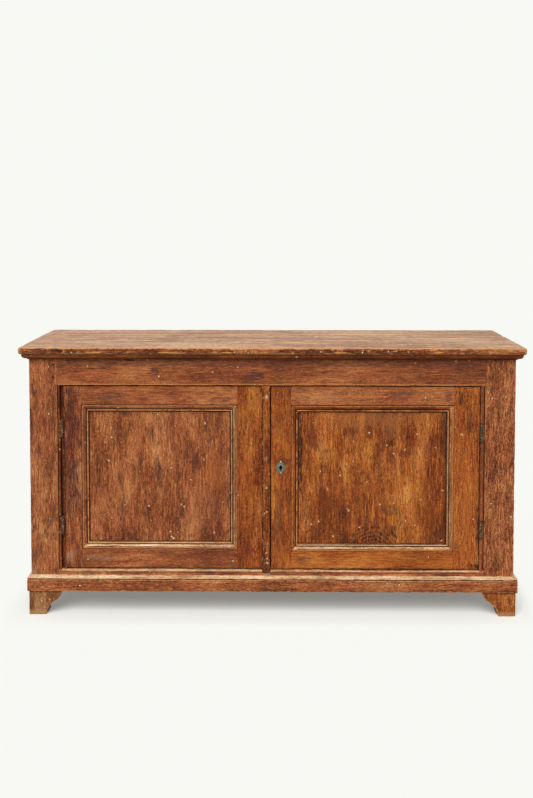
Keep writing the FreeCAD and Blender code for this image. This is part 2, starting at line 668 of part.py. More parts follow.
def build_escutcheon():
    edge = DOOR_FRONT - ESCUTCHEON_THICKNESS + ESCUTCHEON_BEVEL
    face = DOOR_FRONT - ESCUTCHEON_THICKNESS
    plate = Part.makeLoft([diamond(DOOR_FRONT, 0), diamond(edge, 0)], True, True)
    bevel = Part.makeLoft([diamond(edge, 0), diamond(face, ESCUTCHEON_BEVEL)], True, True)
    rim = keyhole(face - ESCUTCHEON_RIM_HEIGHT, face, ESCUTCHEON_RIM)
    through = keyhole(face - MARGIN, DOOR_BACK + MARGIN)
    pieces["escutcheon"] = plate.fuse([bevel, rim]).cut(through).removeSplitter()
    stile = "right_door_meeting_stile"
    pieces[stile] = pieces[stile].cut(through)


def build_lock():
    x0, x1 = LOCK_LEFT, LOCK_LEFT + LOCK_WIDTH
    z0, z1 = KEYHOLE_Z - LOCK_HEIGHT / 2, KEYHOLE_Z + LOCK_HEIGHT / 2
    y1 = DOOR_BACK + LOCK_DEPTH
    case = box(x0, x1, DOOR_BACK, y1, z0, z1)
    hollow = box(x0 + LOCK_WALL, x1 - LOCK_WALL, DOOR_BACK, y1 - LOCK_WALL,
                 z0 + LOCK_WALL, z1 - LOCK_WALL)
    bolt_z0 = KEYHOLE_Z + LOCK_BOLT_RISE - LOCK_BOLT_HEIGHT / 2
    bolt_y1 = y1 - LOCK_WALL - SLIDING_GAP
    bolt = box(x0, x0 + LOCK_BOLT_LENGTH, bolt_y1 - LOCK_BOLT_THICKNESS, bolt_y1,
               bolt_z0, bolt_z0 + LOCK_BOLT_HEIGHT)
    slot = box(x0 - MARGIN, x0 + LOCK_WALL, bolt_y1 - LOCK_BOLT_THICKNESS - SLIDING_GAP,
               bolt_y1 + SLIDING_GAP, bolt_z0 - SLIDING_GAP, bolt_z0 + LOCK_BOLT_HEIGHT + SLIDING_GAP)
    pieces["lock_case"] = case.cut([hollow, slot])
    pieces["lock_bolt"] = bolt


# Slide bolts that hold the left door shut behind the frieze and behind the sill

def bolt_knob(y, z):
    """Turned knob that stands out from the bolt's back face."""
    narrow = BOLT_KNOB_RADIUS - BOLT_KNOB_CHAMFER
    face = section(lambda r, out: Vector(BOLT_X + r, y + out, z),
                   (0, 0), (BOLT_KNOB_NECK, 0), (BOLT_KNOB_NECK, BOLT_KNOB_NECK),
                   (BOLT_KNOB_RADIUS, BOLT_KNOB_NECK + BOLT_KNOB_CHAMFER),
                   (BOLT_KNOB_RADIUS, BOLT_KNOB_LENGTH - BOLT_KNOB_CHAMFER),
                   (narrow, BOLT_KNOB_LENGTH), (0, BOLT_KNOB_LENGTH))
    return face.revolve(Vector(BOLT_X, y, z), Vector(0, 1, 0), 360)


def build_slide_bolts():
    plate_back = DOOR_BACK + STAPLE_WALL
    bolt_y0 = plate_back + SLIDING_GAP
    bolt_y1 = bolt_y0 + BOLT_THICKNESS
    guides = []
    for name, door_end, up in (("upper_bolt", DOOR_TOP, 1), ("lower_bolt", LEFT_DOOR_BOTTOM, -1)):

        def span(offset, length):
            first = door_end - up * offset
            return sorted((first, first - up * length))

        bolt = box(BOLT_X - BOLT_WIDTH / 2, BOLT_X + BOLT_WIDTH / 2, bolt_y0, bolt_y1,
                   *span(BOLT_SETBACK, BOLT_LENGTH))
        knob_z = door_end - up * (BOLT_PLATE_SETBACK + BOLT_PLATE_HEIGHT / 2 + STAPLE_INSET)
        pieces[name] = bolt.fuse(bolt_knob(bolt_y1, knob_z)).removeSplitter()
        half_plate = BOLT_PLATE_WIDTH / 2
        guide = box(BOLT_X - half_plate, BOLT_X + half_plate, DOOR_BACK, plate_back,
                    *span(BOLT_PLATE_SETBACK, BOLT_PLATE_HEIGHT))
        half_bore = BOLT_WIDTH / 2 + SLIDING_GAP
        bore = box(BOLT_X - half_bore, BOLT_X + half_bore, plate_back, bolt_y1 + SLIDING_GAP,
                   *span(0, BOLT_PLATE_SETBACK + BOLT_PLATE_HEIGHT))
        half_staple = half_bore + STAPLE_WALL
        last = BOLT_PLATE_HEIGHT - STAPLE_INSET - STAPLE_HEIGHT
        staples = [box(BOLT_X - half_staple, BOLT_X + half_staple, plate_back,
                       bolt_y1 + SLIDING_GAP + STAPLE_WALL,
                       *span(BOLT_PLATE_SETBACK + offset, STAPLE_HEIGHT))
                   for offset in (STAPLE_INSET, last)]
        guides.append(guide.multiFuse(staples).cut(bore).removeSplitter())
    pieces["bolt_guides"] = group(guides)


build_top()
build_cornice()
build_plinth()
build_front_frame()
build_bead_strips()
build_sides()
build_back()
build_floor()
build_shelf()
build_feet()
build_door("left", LEFT_HINGE_X + DOOR_EDGE, LEFT_DOOR_EDGE, LEFT_DOOR_BOTTOM, LEFT_OPENING)
build_door("right", RIGHT_DOOR_EDGE, RIGHT_HINGE_X - DOOR_EDGE, RIGHT_DOOR_BOTTOM, RIGHT_OPENING)
build_hinges()
build_meeting_strip()
build_door_stops()
build_escutcheon()
build_lock()
build_slide_bolts()

os.makedirs("parts", exist_ok=True)
for node, shape in pieces.items():
    if not shape.isValid() or not shape.Solids:
        raise RuntimeError(node + " is not a sound solid")
    shape.exportStep("parts/" + node + ".step")
print(len(pieces), "pieces")
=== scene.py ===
import json
import math
from dataclasses import dataclass, replace

import bmesh
import bpy
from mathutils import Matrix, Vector, kdtree, noise

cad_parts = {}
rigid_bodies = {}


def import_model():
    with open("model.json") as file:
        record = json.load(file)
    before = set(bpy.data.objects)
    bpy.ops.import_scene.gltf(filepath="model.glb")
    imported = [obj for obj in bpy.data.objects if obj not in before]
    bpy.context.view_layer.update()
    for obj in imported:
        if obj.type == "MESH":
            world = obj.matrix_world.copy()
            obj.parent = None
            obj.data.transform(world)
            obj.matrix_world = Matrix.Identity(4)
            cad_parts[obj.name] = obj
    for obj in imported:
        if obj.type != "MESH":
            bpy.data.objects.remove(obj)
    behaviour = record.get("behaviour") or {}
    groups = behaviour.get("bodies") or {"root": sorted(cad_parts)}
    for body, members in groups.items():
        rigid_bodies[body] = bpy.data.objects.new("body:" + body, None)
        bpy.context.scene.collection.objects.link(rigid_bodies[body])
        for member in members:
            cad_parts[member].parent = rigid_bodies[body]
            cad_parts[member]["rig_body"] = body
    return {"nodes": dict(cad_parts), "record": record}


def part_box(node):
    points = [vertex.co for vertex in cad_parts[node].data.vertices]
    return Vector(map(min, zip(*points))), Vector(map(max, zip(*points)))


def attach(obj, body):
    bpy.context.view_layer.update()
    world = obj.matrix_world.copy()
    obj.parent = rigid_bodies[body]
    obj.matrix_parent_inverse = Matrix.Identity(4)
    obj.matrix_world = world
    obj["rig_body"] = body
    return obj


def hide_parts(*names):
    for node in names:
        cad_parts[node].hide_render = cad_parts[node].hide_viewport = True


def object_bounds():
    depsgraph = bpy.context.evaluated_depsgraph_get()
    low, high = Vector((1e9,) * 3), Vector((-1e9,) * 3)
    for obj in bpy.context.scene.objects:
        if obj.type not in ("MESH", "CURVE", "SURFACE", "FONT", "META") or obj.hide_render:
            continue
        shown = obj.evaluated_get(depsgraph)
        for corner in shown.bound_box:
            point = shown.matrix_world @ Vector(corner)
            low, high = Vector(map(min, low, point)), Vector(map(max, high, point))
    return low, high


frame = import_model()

bl_info = {
    "name": "Buffet Cabinet",
    "version": (1, 0, 0),
    "blender": (4, 5, 0),
    "location": "View3D > Sidebar > Buffet",
    "description": "Old stained softwood buffet with two panelled doors, worn and waxed",
    "category": "Object",
}

CAD_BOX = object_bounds()
MM = 0.001
X, Y, Z = 0, 1, 2

# Sockets of the Mix node when it mixes colours, and its settings then
FACTOR, FIRST, SECOND = 0, 6, 7
COLOURS = {"out": 2, "data_type": "RGBA"}

# Setting of a Map Range node that eases in and out
SMOOTH = {"interpolation_type": "SMOOTHSTEP"}


def linear(colour):
    """Linear red, green, blue and alpha of an sRGB hex value."""
    parts = [int(colour[start:start + 2], 16) / 255 for start in (0, 2, 4)]
    return tuple(part / 12.92 if part <= 0.04045 else ((part + 0.055) / 1.055) ** 2.4
                 for part in parts) + (1.0,)


def colour_property(name, description, colour):
    return bpy.props.FloatVectorProperty(name=name, description=description, subtype="COLOR", size=4,
                                         min=0.0, max=1.0, default=linear(colour))


def number_property(name, description, default, **kind):
    return bpy.props.FloatProperty(name=name, description=description, default=default, **kind)


def length_property(name, description, millimetres):
    return number_property(name, description, millimetres * MM, unit="LENGTH", min=0.0)


STAIN_PARTS = (("Dark", "Stain and dirt gathered in the grain"), ("Deep", "Where the colour lies thick"),
               ("Tone", "Middle tone"), ("Thin", "Where the colour is rubbed thin"),
               ("Pale", "Nearly bare grain"))

# The finishes, each with the colours of these five parts
STAINS = {
    "red": ("Red-brown stain of the frame and the left door",
            "3E1C12", "7A3F24", "9F5831", "BC7143", "D69A62"),
    "amber": ("Orange-brown stain of the right door", "38190B", "763617", "A05320", "BC6B2D", "D8964E"),
    # The top's colours are pale partly from scrubbing and dust and partly as a painted highlight of the light
    # from above
    "top": ("Scrubbed and bleached boards of the top", "86573E", "A27354", "B78663", "C69875", "D4AD89"),
    "rubbed": ("Rounded edges rubbed down to the wood", "7A4A2C", "A87448", "C6966A", "DDB68C", "F0D4B0"),
    "foot": ("Scuffed ochre feet", "5A341E", "85522E", "A0673D", "B87F52", "DDB08A"),
    "bare": ("Unfinished boards of the back and the inside",
             "7A5A3E", "947250", "A98661", "B99773", "CBAE8B"),
}


def stain_group(key, description, *colours):
    """PropertyGroup of the colours of one finish."""
    notes = {part.lower(): colour_property(part, words, colour)
             for (part, words), colour in zip(STAIN_PARTS, colours)}
    return type("Buffet" + key.title() + "Stain", (bpy.types.PropertyGroup,),
                {"__doc__": description, "__annotations__": notes})


class BuffetFinish(bpy.types.PropertyGroup):
    """Colours of the wear, the dirt and painted shade, and the iron"""

    worn_edge: colour_property("Worn edge", "Wood that shows along a rubbed arris", "D29A66")
    chip: colour_property("Chip", "Fresh cream wood in a chip", "EAD9BA")
    # This colour darkens corners and seams, as dirt and as painted shade
    dirt: colour_property("Dirt", "Old dirt and wax in corners", "1C0F09")
    smudge: colour_property("Smudge", "Purple-brown grime on the faces", "4E2E26")
    dash: colour_property("Dash", "Short dark scratches along the grain", "2E1812")
    iron: colour_property("Iron", "Bare aged iron", "8A8272")
    bright_iron: colour_property("Bright iron", "Iron rubbed bright on edges and nail heads", "A6A89C")
    hinge_fleck: colour_property("Hinge fleck", "Flecks of old stain and paint on the hinges", "C4A47C")
    dark_iron: colour_property("Dark iron", "Oxidised iron", "35302A")
    rust: colour_property("Rust", "Rust and old brown paint on the iron", "6B4326")
    plate: colour_property("Escutcheon", "Grey-green iron of the escutcheon", "6E746A")


class BuffetWear(bpy.types.PropertyGroup):
    """Sizes of the wear and of the small fasteners"""

    arris: length_property("Arris", "Radius of a worn edge", 0.9)
    chip_depth: length_property("Chip depth", "Deepest chip on an edge", 1.6)
    hollow: length_property("Hollow", "Unevenness of the hand-planed faces", 0.25)
    # Reach also sets how far the painted shade in corners and seams spreads
    reach: length_property("Reach", "How far wear and dirt spread from an edge", 2.5)
    nail_head: length_property("Nail head", "Width of a hand-made nail head", 7.0)
    screw_head: length_property("Screw head", "Width of a screw head", 5.5)


class BuffetStage(bpy.types.PropertyGroup):
    """Camera, light and floor"""

    lens: number_property("Lens", "Focal length", 41.21, unit="CAMERA")
    camera: bpy.props.FloatVectorProperty(name="Camera", description="Where the camera stands",
                                          subtype="TRANSLATION", unit="LENGTH",
                                          default=(0.0179, -3.7707, 1.5679))
    tilt: number_property("Tilt", "How far the camera looks down", 0.0476, subtype="ANGLE")
    turn: number_property("Turn", "How far the camera is turned to the left", 0.0109, subtype="ANGLE")
    rise: number_property("Rise", "Vertical shift of the view", -0.1751)
    floor: colour_property("Floor", "Pale floor and backdrop", "F8F9F4")
    key: number_property("Key", "Soft light from the upper left", 2.68)
    overhead: number_property("Overhead", "Soft light from above", 0.1)
    sky: number_property("Sky", "Even light from all round", 0.35)


# Wear: every sharp edge of the pieces is found once, and each board is then rubbed and chipped along
# its own edges and darkened, with dirt and painted shade, where another piece or a hollow corner meets it.

SLOTS = {part["node"]: part["material_slot"] for part in frame["record"]["subparts"]}
EDGE_STEP = 3 * MM
FLUSH = 1.5 * MM
FLUSH_WEAR = 0.12
LEAST_BEND = 0.04
WELD = 0.01 * MM
JUST_INSIDE = 0.2 * MM
FLAT = math.radians(0.5)
SHARP = math.radians(35)
BOARD_SMOOTH = math.radians(32)

# Distances in millimetres of the cuts beside an edge, and between the cuts on a face
LOOPS = (2.5, 6.0, 12.0)
COARSE = 38.0

# Lengths of the noise that breaks chips and splinters off an edge and dimples a face
CHIP_WAVE = 26 * MM
SPLINTER_WAVE = 9 * MM
DIMPLE_WAVE = 70 * MM


class EdgeMap:
    """Points along the sharp edges of all nodes, with their owner and how far they bend."""

    def __init__(self):
        self.points = []
        self.owners = []
        self.bends = []
        for node in SLOTS:
            self.take(node)
        self.tree = kdtree.KDTree(len(self.points))
        for index, point in enumerate(self.points):
            self.tree.insert(point, index)
        self.tree.balance()
        # An edge that lies flush against another piece hardly wears
        flush = [index for index, point in enumerate(self.points)
                 if any(self.owners[other] != self.owners[index]
                        for _, other, _ in self.tree.find_range(point, FLUSH))]
        for index in flush:
            self.bends[index] *= FLUSH_WEAR

    def take(self, node):
        """Adds the bent edges of one node."""
        shell = bmesh.new()
        shell.from_mesh(frame["nodes"][node].data)
        bmesh.ops.remove_doubles(shell, verts=shell.verts, dist=WELD)
        for edge in shell.edges:
            if len(edge.link_faces) != 2:
                continue
            bend = edge.calc_face_angle_signed(0.0) / (math.pi / 2)
            if abs(bend) < LEAST_BEND:
                continue
            first, last = (vertex.co for vertex in edge.verts)
            count = max(1, round((last - first).length / EDGE_STEP))
            share = (last - first).length / count / EDGE_STEP
            for index in range(count):
                self.points.append(first.lerp(last, (index + 0.5) / count))
                self.owners.append(node)
                self.bends.append(max(-1.0, min(1.0, bend)) * share)
        shell.free()

    def near(self, node, place, reach):
        """Sums of rubbed edges, hollow corners and seams with other pieces near a place."""
        rubbed = hollow = seam = 0.0
        for _, index, distance in self.tree.find_range(place, 2 * reach):
            share = math.exp(-(distance / reach) ** 2)
            bend = self.bends[index] * share
            if self.owners[index] != node:
                seam += abs(bend) * share
            elif bend > 0:
                rubbed += bend
            else:
                hollow -= bend
        level = EDGE_STEP / (reach * math.sqrt(math.pi))
        return rubbed * level, hollow * level, seam * level


edge_map = EdgeMap()


def only(piece):
    """Makes one object the selected and active one."""
    bpy.ops.object.select_all(action="DESELECT")
    piece.select_set(True)
    bpy.context.view_layer.objects.active = piece


def joined(pieces, name):
    """Joins objects into the first of them."""
    bpy.ops.object.select_all(action="DESELECT")
    for piece in pieces:
        piece.select_set(True)
    bpy.context.view_layer.objects.active = pieces[0]
    bpy.ops.object.join()
    pieces[0].name = name
    return pieces[0]


def cut_places(low, high, step, loops):
    """Even steps between two ends, with closer cuts at the given distances from both of them."""
    first = loops[-1] * MM if loops else 0.0
    count = max(1, round((high - low - 2 * first) / (step * MM)))
    places = [low + first + (high - low - 2 * first) * index / count for index in range(count + 1)]
    near = [low + loop * MM for loop in loops[:-1]] + [high - loop * MM for loop in loops[:-1]]
    return [place for place in places + near if low < place < high]


def cut_across(axis, places):
    """Cuts the mesh in edit mode at each place along an axis."""
    normal = [0.0, 0.0, 0.0]
    normal[axis] = 1.0
    for place in places:
        bpy.ops.mesh.select_all(action="SELECT")
        bpy.ops.mesh.bisect(plane_co=[place * part for part in normal], plane_no=normal)


def copy_of(node, name, keep=None):
    """New object with a welded copy of a node's mesh; keep picks faces by a point just inside them."""
    piece = bpy.data.objects.new(name, frame["nodes"][node].data.copy())
    piece.data.name = name
    piece.data.materials.clear()
    bpy.context.scene.collection.objects.link(piece)
    only(piece)
    bpy.ops.mesh.customdata_custom_splitnormals_clear()
    bpy.ops.object.mode_set(mode="EDIT")
    bpy.ops.mesh.select_mode(type="FACE")
    if keep:
        bpy.ops.object.mode_set(mode="OBJECT")
        for face in piece.data.polygons:
            face.select = not keep(face.center - JUST_INSIDE * face.normal)
        bpy.ops.object.mode_set(mode="EDIT")
        bpy.ops.mesh.delete(type="FACE")
    bpy.ops.mesh.select_all(action="SELECT")
    bpy.ops.mesh.remove_doubles(threshold=WELD)
    bpy.ops.mesh.dissolve_limited(angle_limit=FLAT)
    bpy.ops.object.mode_set(mode="OBJECT")
    return piece


def smooth_step(low, high, value):
    share = max(0.0, min(1.0, (value - low) / (high - low)))
    return share * share * (3 - 2 * share)


def weather(piece, node, depth, reach, seed):
    """Chips the edges inwards, dimples the faces and stores rubbed and chipped places, and places darkened by
    dirt and painted shade.
    """
    mesh = piece.data
    fields = {name: mesh.attributes.new(name, "FLOAT", "POINT") for name in ("rubbed", "grime", "chipped")}
    normals = [vertex.normal.copy() for vertex in mesh.vertices]
    shift = Vector((seed, seed * 0.37, -seed))
    hollowness = bpy.context.scene.buffet_wear.hollow
    for vertex, normal in zip(mesh.vertices, normals):
        rubbed, hollow, seam = edge_map.near(node, vertex.co, reach)
        rubbed = min(1.0, rubbed)
        coarse = noise.noise(vertex.co / CHIP_WAVE + shift)
        fine = noise.noise(vertex.co / SPLINTER_WAVE - shift)
        chipped = rubbed * smooth_step(0.12, 0.5, coarse + 0.6 * fine)
        dimple = 0.5 + 0.5 * noise.noise(vertex.co / DIMPLE_WAVE + shift)
        fields["rubbed"].data[vertex.index].value = rubbed
        # Hollow corners and seams with other pieces hold dirt and painted shade
        fields["grime"].data[vertex.index].value = min(1.0, hollow + seam)
        fields["chipped"].data[vertex.index].value = chipped
        vertex.co -= normal * (depth * chipped + hollowness * dimple)
    mesh.update()


def worn_board(node, finish, along, step, seed, depth=1.0, reach=1.0, inset=0.0, others=(), keep=None,
               name=None, quirk=None, arris=1.0):
    """Worn copy of a node that stands for it. Chips are cut every step along the grain; depth, reach and
    arris scale the usual wear, and inset is how much of its edges another piece covers. Others are tests
    that pick faces, each with the material that these faces get. Quirk is the height of a groove whose
    lower edge wears too."""
    wear = bpy.context.scene.buffet_wear
    low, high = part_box(node)
    piece = copy_of(node, name or "worn_" + node, keep)
    bpy.ops.object.mode_set(mode="EDIT")
    bpy.ops.mesh.select_mode(type="EDGE")
    bpy.ops.mesh.select_all(action="DESELECT")
    bpy.ops.mesh.edges_select_sharp(sharpness=SHARP)
    bpy.ops.mesh.bevel(offset=arris * wear.arris, segments=2, profile=0.5, affect="EDGES", clamp_overlap=True)
    # Cuts across a many-sided face can bridge the holes in it, so the faces are triangles first
    bpy.ops.mesh.select_all(action="SELECT")
    bpy.ops.mesh.quads_convert_to_tris(quad_method="BEAUTY", ngon_method="BEAUTY")
    loops = [inset + loop for loop in ((0.0,) + LOOPS if inset else LOOPS)]
    for axis in (X, Y, Z):
        if axis == along:
            cut_across(axis, cut_places(low[axis], high[axis], step, loops if inset else []))
        elif high[axis] - low[axis] > 4 * loops[-1] * MM:
            cut_across(axis, cut_places(low[axis], high[axis], COARSE, loops))
    if quirk:
        cut_across(Z, [(quirk - loop) * MM for loop in LOOPS])
    bpy.ops.object.mode_set(mode="OBJECT")
    weather(piece, node, depth * wear.chip_depth, reach * wear.reach, seed)
    piece.data.materials.append(finish)
    for index, (test, material) in enumerate(others, 1):
        piece.data.materials.append(material)
        for face in piece.data.polygons:
            if test(face):
                face.material_index = index
    only(piece)
    bpy.ops.object.shade_smooth_by_angle(angle=BOARD_SMOOTH)
    stand_for(piece, node)
    return piece


def facing(x, y, z, least=0.7):
    """Test for the faces of a board that look in a direction."""
    way = Vector((x, y, z))
    return lambda face: face.normal.dot(way) > least


def above(height):
    """Test for the faces of a board that lie above a height in millimetres."""
    return lambda face: face.center.z > height * MM


def stand_for(piece, node):
    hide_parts(node)
    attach(piece, frame["nodes"][node]["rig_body"])


# Materials

def add(tree, kind, inputs=(), out=0, **settings):
    """Adds a shader node and returns one of its outputs. Inputs are values or other nodes' outputs, by
    socket, or else in the order of the sockets."""
    node = tree.nodes.new("ShaderNode" + kind)
    for name, value in settings.items():
        setattr(node, name, value)
    for key, value in inputs.items() if isinstance(inputs, dict) else enumerate(inputs):
        if isinstance(value, bpy.types.NodeSocket):
            tree.links.new(value, node.inputs[key])
        else:
            node.inputs[key].default_value = value
    return node.outputs[out] if node.outputs else None


def emptied(owner):
    """Empty node tree of a new material or world."""
    owner.use_nodes = True
    owner.node_tree.nodes.clear()
    return owner.node_tree


# Sizes of a mark that runs past both ends of every board
ACROSS = 9000
UPRIGHT = 4500

# How far a mark goes through the wood, and how often a Wave texture repeats in its coordinate
THROUGH = 1e3
WAVE_REPEAT = 0.314


@dataclass
class Mark:
    """One stain, knot or scratch, or a band of painted shade or sheen, in millimetres on the front: its
    middle, half its size and its turn in degrees. Lines is the spacing of the rings of grain that it is made
    of, if it has any."""

    x: float
    z: float
    wide: float
    tall: float
    colour: str
    strength: float = 0.85
    broken: float = 2.2
    turn: float = 0.0
    lines: float = 0.0


@dataclass
class Look:
    """How one board took its stain and its wear: the axis of its grain and of its broad face, its finish,
    and how much it has of each kind of wear. Flakes are places on the front where a chip has come off."""

    along: int
    seed: float
    palette: str = "red"
    face: int = Y
    tone: float = 0.0
    contrast: float = 1.0
    coarse: float = 1.0
    patches: float = 1.1
    smudges: float = 0.5
    dashes: float = 0.6
    chips: float = 0.3
    wear: float = 0.35
    grime: float = 1.0
    marks: tuple = ()
    flakes: tuple = ()


def grain(tree, place, look, width, length, shift, detail=4.0):
    """Noise drawn out along the grain; width and length are the size of one streak in millimetres."""
    scale = [1 / (width * look.coarse * MM)] * 3
    scale[look.along] = 1 / (length * look.coarse * MM)
    laid = add(tree, "Mapping", {"Vector": place, "Scale": scale,
                                 "Location": (look.seed + shift, look.seed - shift, look.seed * 1.7)})
    return add(tree, "TexNoise", {"Vector": laid, "Scale": 1.0, "Detail": detail, "Roughness": 0.62})


def laid_mark(tree, place, mark, ragged, bite):
    """How strongly one mark shows, and its colour. Ragged noise breaks up its outline, and bite is how deep
    it went into the grain."""
    turn = (0, math.radians(mark.turn), 0)
    middle = (mark.x * MM, 0, mark.z * MM)
    spot = add(tree, "Mapping", {"Vector": place, "Location": middle, "Rotation": turn,
                                 "Scale": (mark.wide * MM, THROUGH, mark.tall * MM)}, vector_type="TEXTURE")
    spot = add(tree, "TexGradient", {"Vector": spot}, 1, gradient_type="SPHERICAL")
    spot = add(tree, "Math", (ragged, mark.broken, spot), operation="MULTIPLY_ADD")
    half = 0.5 * mark.broken
    spot = add(tree, "MapRange", (spot, half + 0.15, half + 0.6, 0, mark.strength), **SMOOTH)
    if mark.lines:
        period = mark.lines * MM / WAVE_REPEAT
        lines = add(tree, "Mapping", {"Vector": place, "Location": middle, "Rotation": turn,
                                      "Scale": (period, THROUGH, period)}, vector_type="TEXTURE")
        lines = add(tree, "TexWave", {"Vector": lines, "Scale": 1.0, "Distortion": 9.0, "Detail": 3.0,
                                      "Detail Scale": 0.8}, 1, wave_type="RINGS", rings_direction="Y")
        lines = add(tree, "MapRange", (lines, 0.3, 0.75, 0.2), **SMOOTH)
        spot = add(tree, "Math", (spot, lines), operation="MULTIPLY")
    return add(tree, "Math", (spot, bite), operation="MULTIPLY"), linear(mark.colour)


# Layers of noise in the wood: how wide and how long one streak is in millimetres, and its shift and detail.
# Fibres, specks and scratches are drawn wider than the real 0.3 mm so that they show.
GRAINS = {"broad": (80, 260, 3.1, 3.0), "streak": (6.5, 95, 7.7, 4.0), "fibres": (2.6, 24, 12.3, 3.0),
          "specks": (3, 6, 17.9, 2.0), "drift": (55, 150, 51.3, 2.0), "cloud": (32, 80, 21.9, 6.0),
          "scratch": (3, 22, 27.1, 1.0), "ragged": (9, 36, 40.7, 5.0), "crumbs": (6, 16, 33.3, 4.0)}

FACE_TURNS = {X: (0, math.pi / 2, 0), Y: (math.pi / 2, 0, 0), Z: (0, 0, 0)}

# The net of chips: the width of its cells in millimetres, and in cells how far noise pulls it and how big a
# chip at a given place is
CHIP_NET = 26.0
CHIP_PULL = 0.4
FLAKE = 0.12


def softwood(name, look):
    """Old pine under thin stain and wax: the grain shows as streaks along the board, dark scratches and
    smudges lie over it, edges are rubbed to pale wood, corners hold dark dirt and painted shade, and small
    chips show cream."""
    finish = bpy.context.scene.buffet_finish
    stain = getattr(bpy.context.scene, "buffet_" + look.palette)
    material = bpy.data.materials.new(name)
    tree = emptied(material)
    place = add(tree, "TexCoord", out="Object")
    broad, streak, fibres, specks, drift, cloud, scratch, ragged, crumbs = (
        grain(tree, place, look, *sizes) for sizes in GRAINS.values())

    # Tone: broad patches, streaks of late wood, fibres and specks
    layers = ((broad, look.patches), (streak, 0.8), (fibres, 0.85), (specks, 0.85))
    tone = 0.5 + look.tone - look.contrast * sum(share for _, share in layers) / 2
    for layer, share in layers:
        tone = add(tree, "Math", (layer, share * look.contrast, tone), operation="MULTIPLY_ADD")
    ramp = add(tree, "ValToRGB", {"Fac": tone})
    stops = ramp.node.color_ramp.elements
    for position in (0.32, 0.5, 0.68):
        stops.new(position)
    for stop, colour in zip(stops, (stain.dark, stain.deep, stain.tone, stain.thin, stain.pale)):
        stop.color = colour
    hue = add(tree, "MapRange", (drift, 0.3, 0.7, 0.495, 0.505))
    colour = add(tree, "HueSaturation", {"Color": ramp, "Hue": hue})

    # Grime in cloudy patches drawn out along the grain, and short dark scratches that gather in them
    cloud = add(tree, "Math", (streak, 0.5, cloud), operation="MULTIPLY_ADD")
    cloud = add(tree, "MapRange", (cloud, 0.77, 0.92), **SMOOTH)
    smudge = add(tree, "Math", (cloud, 0.75 * look.smudges), operation="MULTIPLY")
    dash = add(tree, "MapRange", (scratch, 0.53, 0.64, 0, look.dashes), **SMOOTH)
    gather = add(tree, "MapRange", (cloud, 0, 1, 0.3, 1.0))
    dash = add(tree, "Math", (dash, gather), operation="MULTIPLY")
    ragged = add(tree, "Mix", {0: 0.45, 2: ragged, 3: scratch})
    bite = add(tree, "MapRange", (fibres, 0.58, 0.4, 0.5, 1.2))

    # Rubbed arrises and broken chips, where the fibres show between rests of stain
    rubbed = add(tree, "Attribute", out="Fac", attribute_name="rubbed")
    chipped = add(tree, "Attribute", out="Fac", attribute_name="chipped")
    edge = add(tree, "Math", (rubbed, look.wear, crumbs), operation="MULTIPLY_ADD")
    edge = add(tree, "Math", (chipped, look.wear, edge), operation="MULTIPLY_ADD")
    edge = add(tree, "MapRange", (edge, 0.7, 0.95), **SMOOTH)
    worn = add(tree, "MapRange", (specks, 0.35, 0.6))
    worn = add(tree, "Mix", {FACTOR: worn, FIRST: stain.thin, SECOND: finish.worn_edge}, **COLOURS)

    # Small flaked chips with a rim of dark dirt and torn fibres, in a few cells of a net laid on the broad
    # face and at the given places. Noise pulls the net about so that no chip is round.
    size = [1 / (CHIP_NET * MM)] * 3
    size[look.face] = 0.0
    net = add(tree, "Mapping", {"Vector": place, "Rotation": FACE_TURNS[look.face],
                                "Location": (look.seed, look.seed, 0), "Scale": size})
    pull = add(tree, "TexNoise", {"Vector": net, "Scale": 5.0, "Detail": 2.0}, "Color")
    net = add(tree, "VectorMath", (pull, (CHIP_PULL, CHIP_PULL, 0.0), net), operation="MULTIPLY_ADD")
    cells = add(tree, "TexVoronoi", {"Vector": net, "Scale": 1.0}, voronoi_dimensions="2D").node
    chance = add(tree, "SeparateColor", {"Color": cells.outputs["Color"]}).node.outputs
    share = add(tree, "MapRange", (drift, 0.4, 0.62, 0.02 * look.chips, 0.2 * look.chips))
    picked = add(tree, "Math", (chance["Red"], share), operation="LESS_THAN")
    radius = add(tree, "Math", (chance["Green"], 2.5), operation="POWER")
    radius = add(tree, "MapRange", (radius, 0, 1, 1.06, 1.13))
    radius = add(tree, "Math", (radius, picked, -1.0), operation="MULTIPLY_ADD")
    inside = add(tree, "Math", (radius, cells.outputs["Distance"]), operation="SUBTRACT")
    nearest = 1.0
    for x, z in look.flakes:
        spot = (look.seed + CHIP_PULL / 2 + x / CHIP_NET, look.seed + CHIP_PULL / 2 - z / CHIP_NET, 0)
        gap = add(tree, "VectorMath", (net, spot), "Value", operation="DISTANCE")
        nearest = add(tree, "Math", (gap, nearest), operation="MINIMUM")
    flake = add(tree, "Math", (FLAKE, nearest), operation="SUBTRACT")
    inside = add(tree, "Math", (inside, flake), operation="MAXIMUM")
    torn = add(tree, "MapRange", (specks, 0.42, 0.56))
    torn = add(tree, "Mix", {FACTOR: torn, FIRST: finish.dash, SECOND: stain.thin}, **COLOURS)
    rim = add(tree, "MapRange", (inside, -0.22, -0.03, 0, 0.65))
    chip = add(tree, "MapRange", (inside, -0.02, 0.04))
    fresh = add(tree, "Mix", {FACTOR: chance["Blue"], FIRST: finish.worn_edge, SECOND: finish.chip},
                **COLOURS)

    # Dirt and painted shade in corners and seams
    grime = add(tree, "Attribute", out="Fac", attribute_name="grime")
    grime = add(tree, "Math", (grime, crumbs), operation="MULTIPLY")
    grime = add(tree, "MapRange", (grime, 0.08, 0.36, 0, 0.92 * look.grime), **SMOOTH)

    coats = [(smudge, finish.smudge), (dash, finish.dash)]
    coats += [laid_mark(tree, place, mark, ragged, bite) for mark in look.marks]
    coats += [(edge, worn), (rim, torn), (chip, fresh), (grime, finish.dirt)]
    for amount, over in coats:
        colour = add(tree, "Mix", {FACTOR: amount, FIRST: colour, SECOND: over}, **COLOURS)

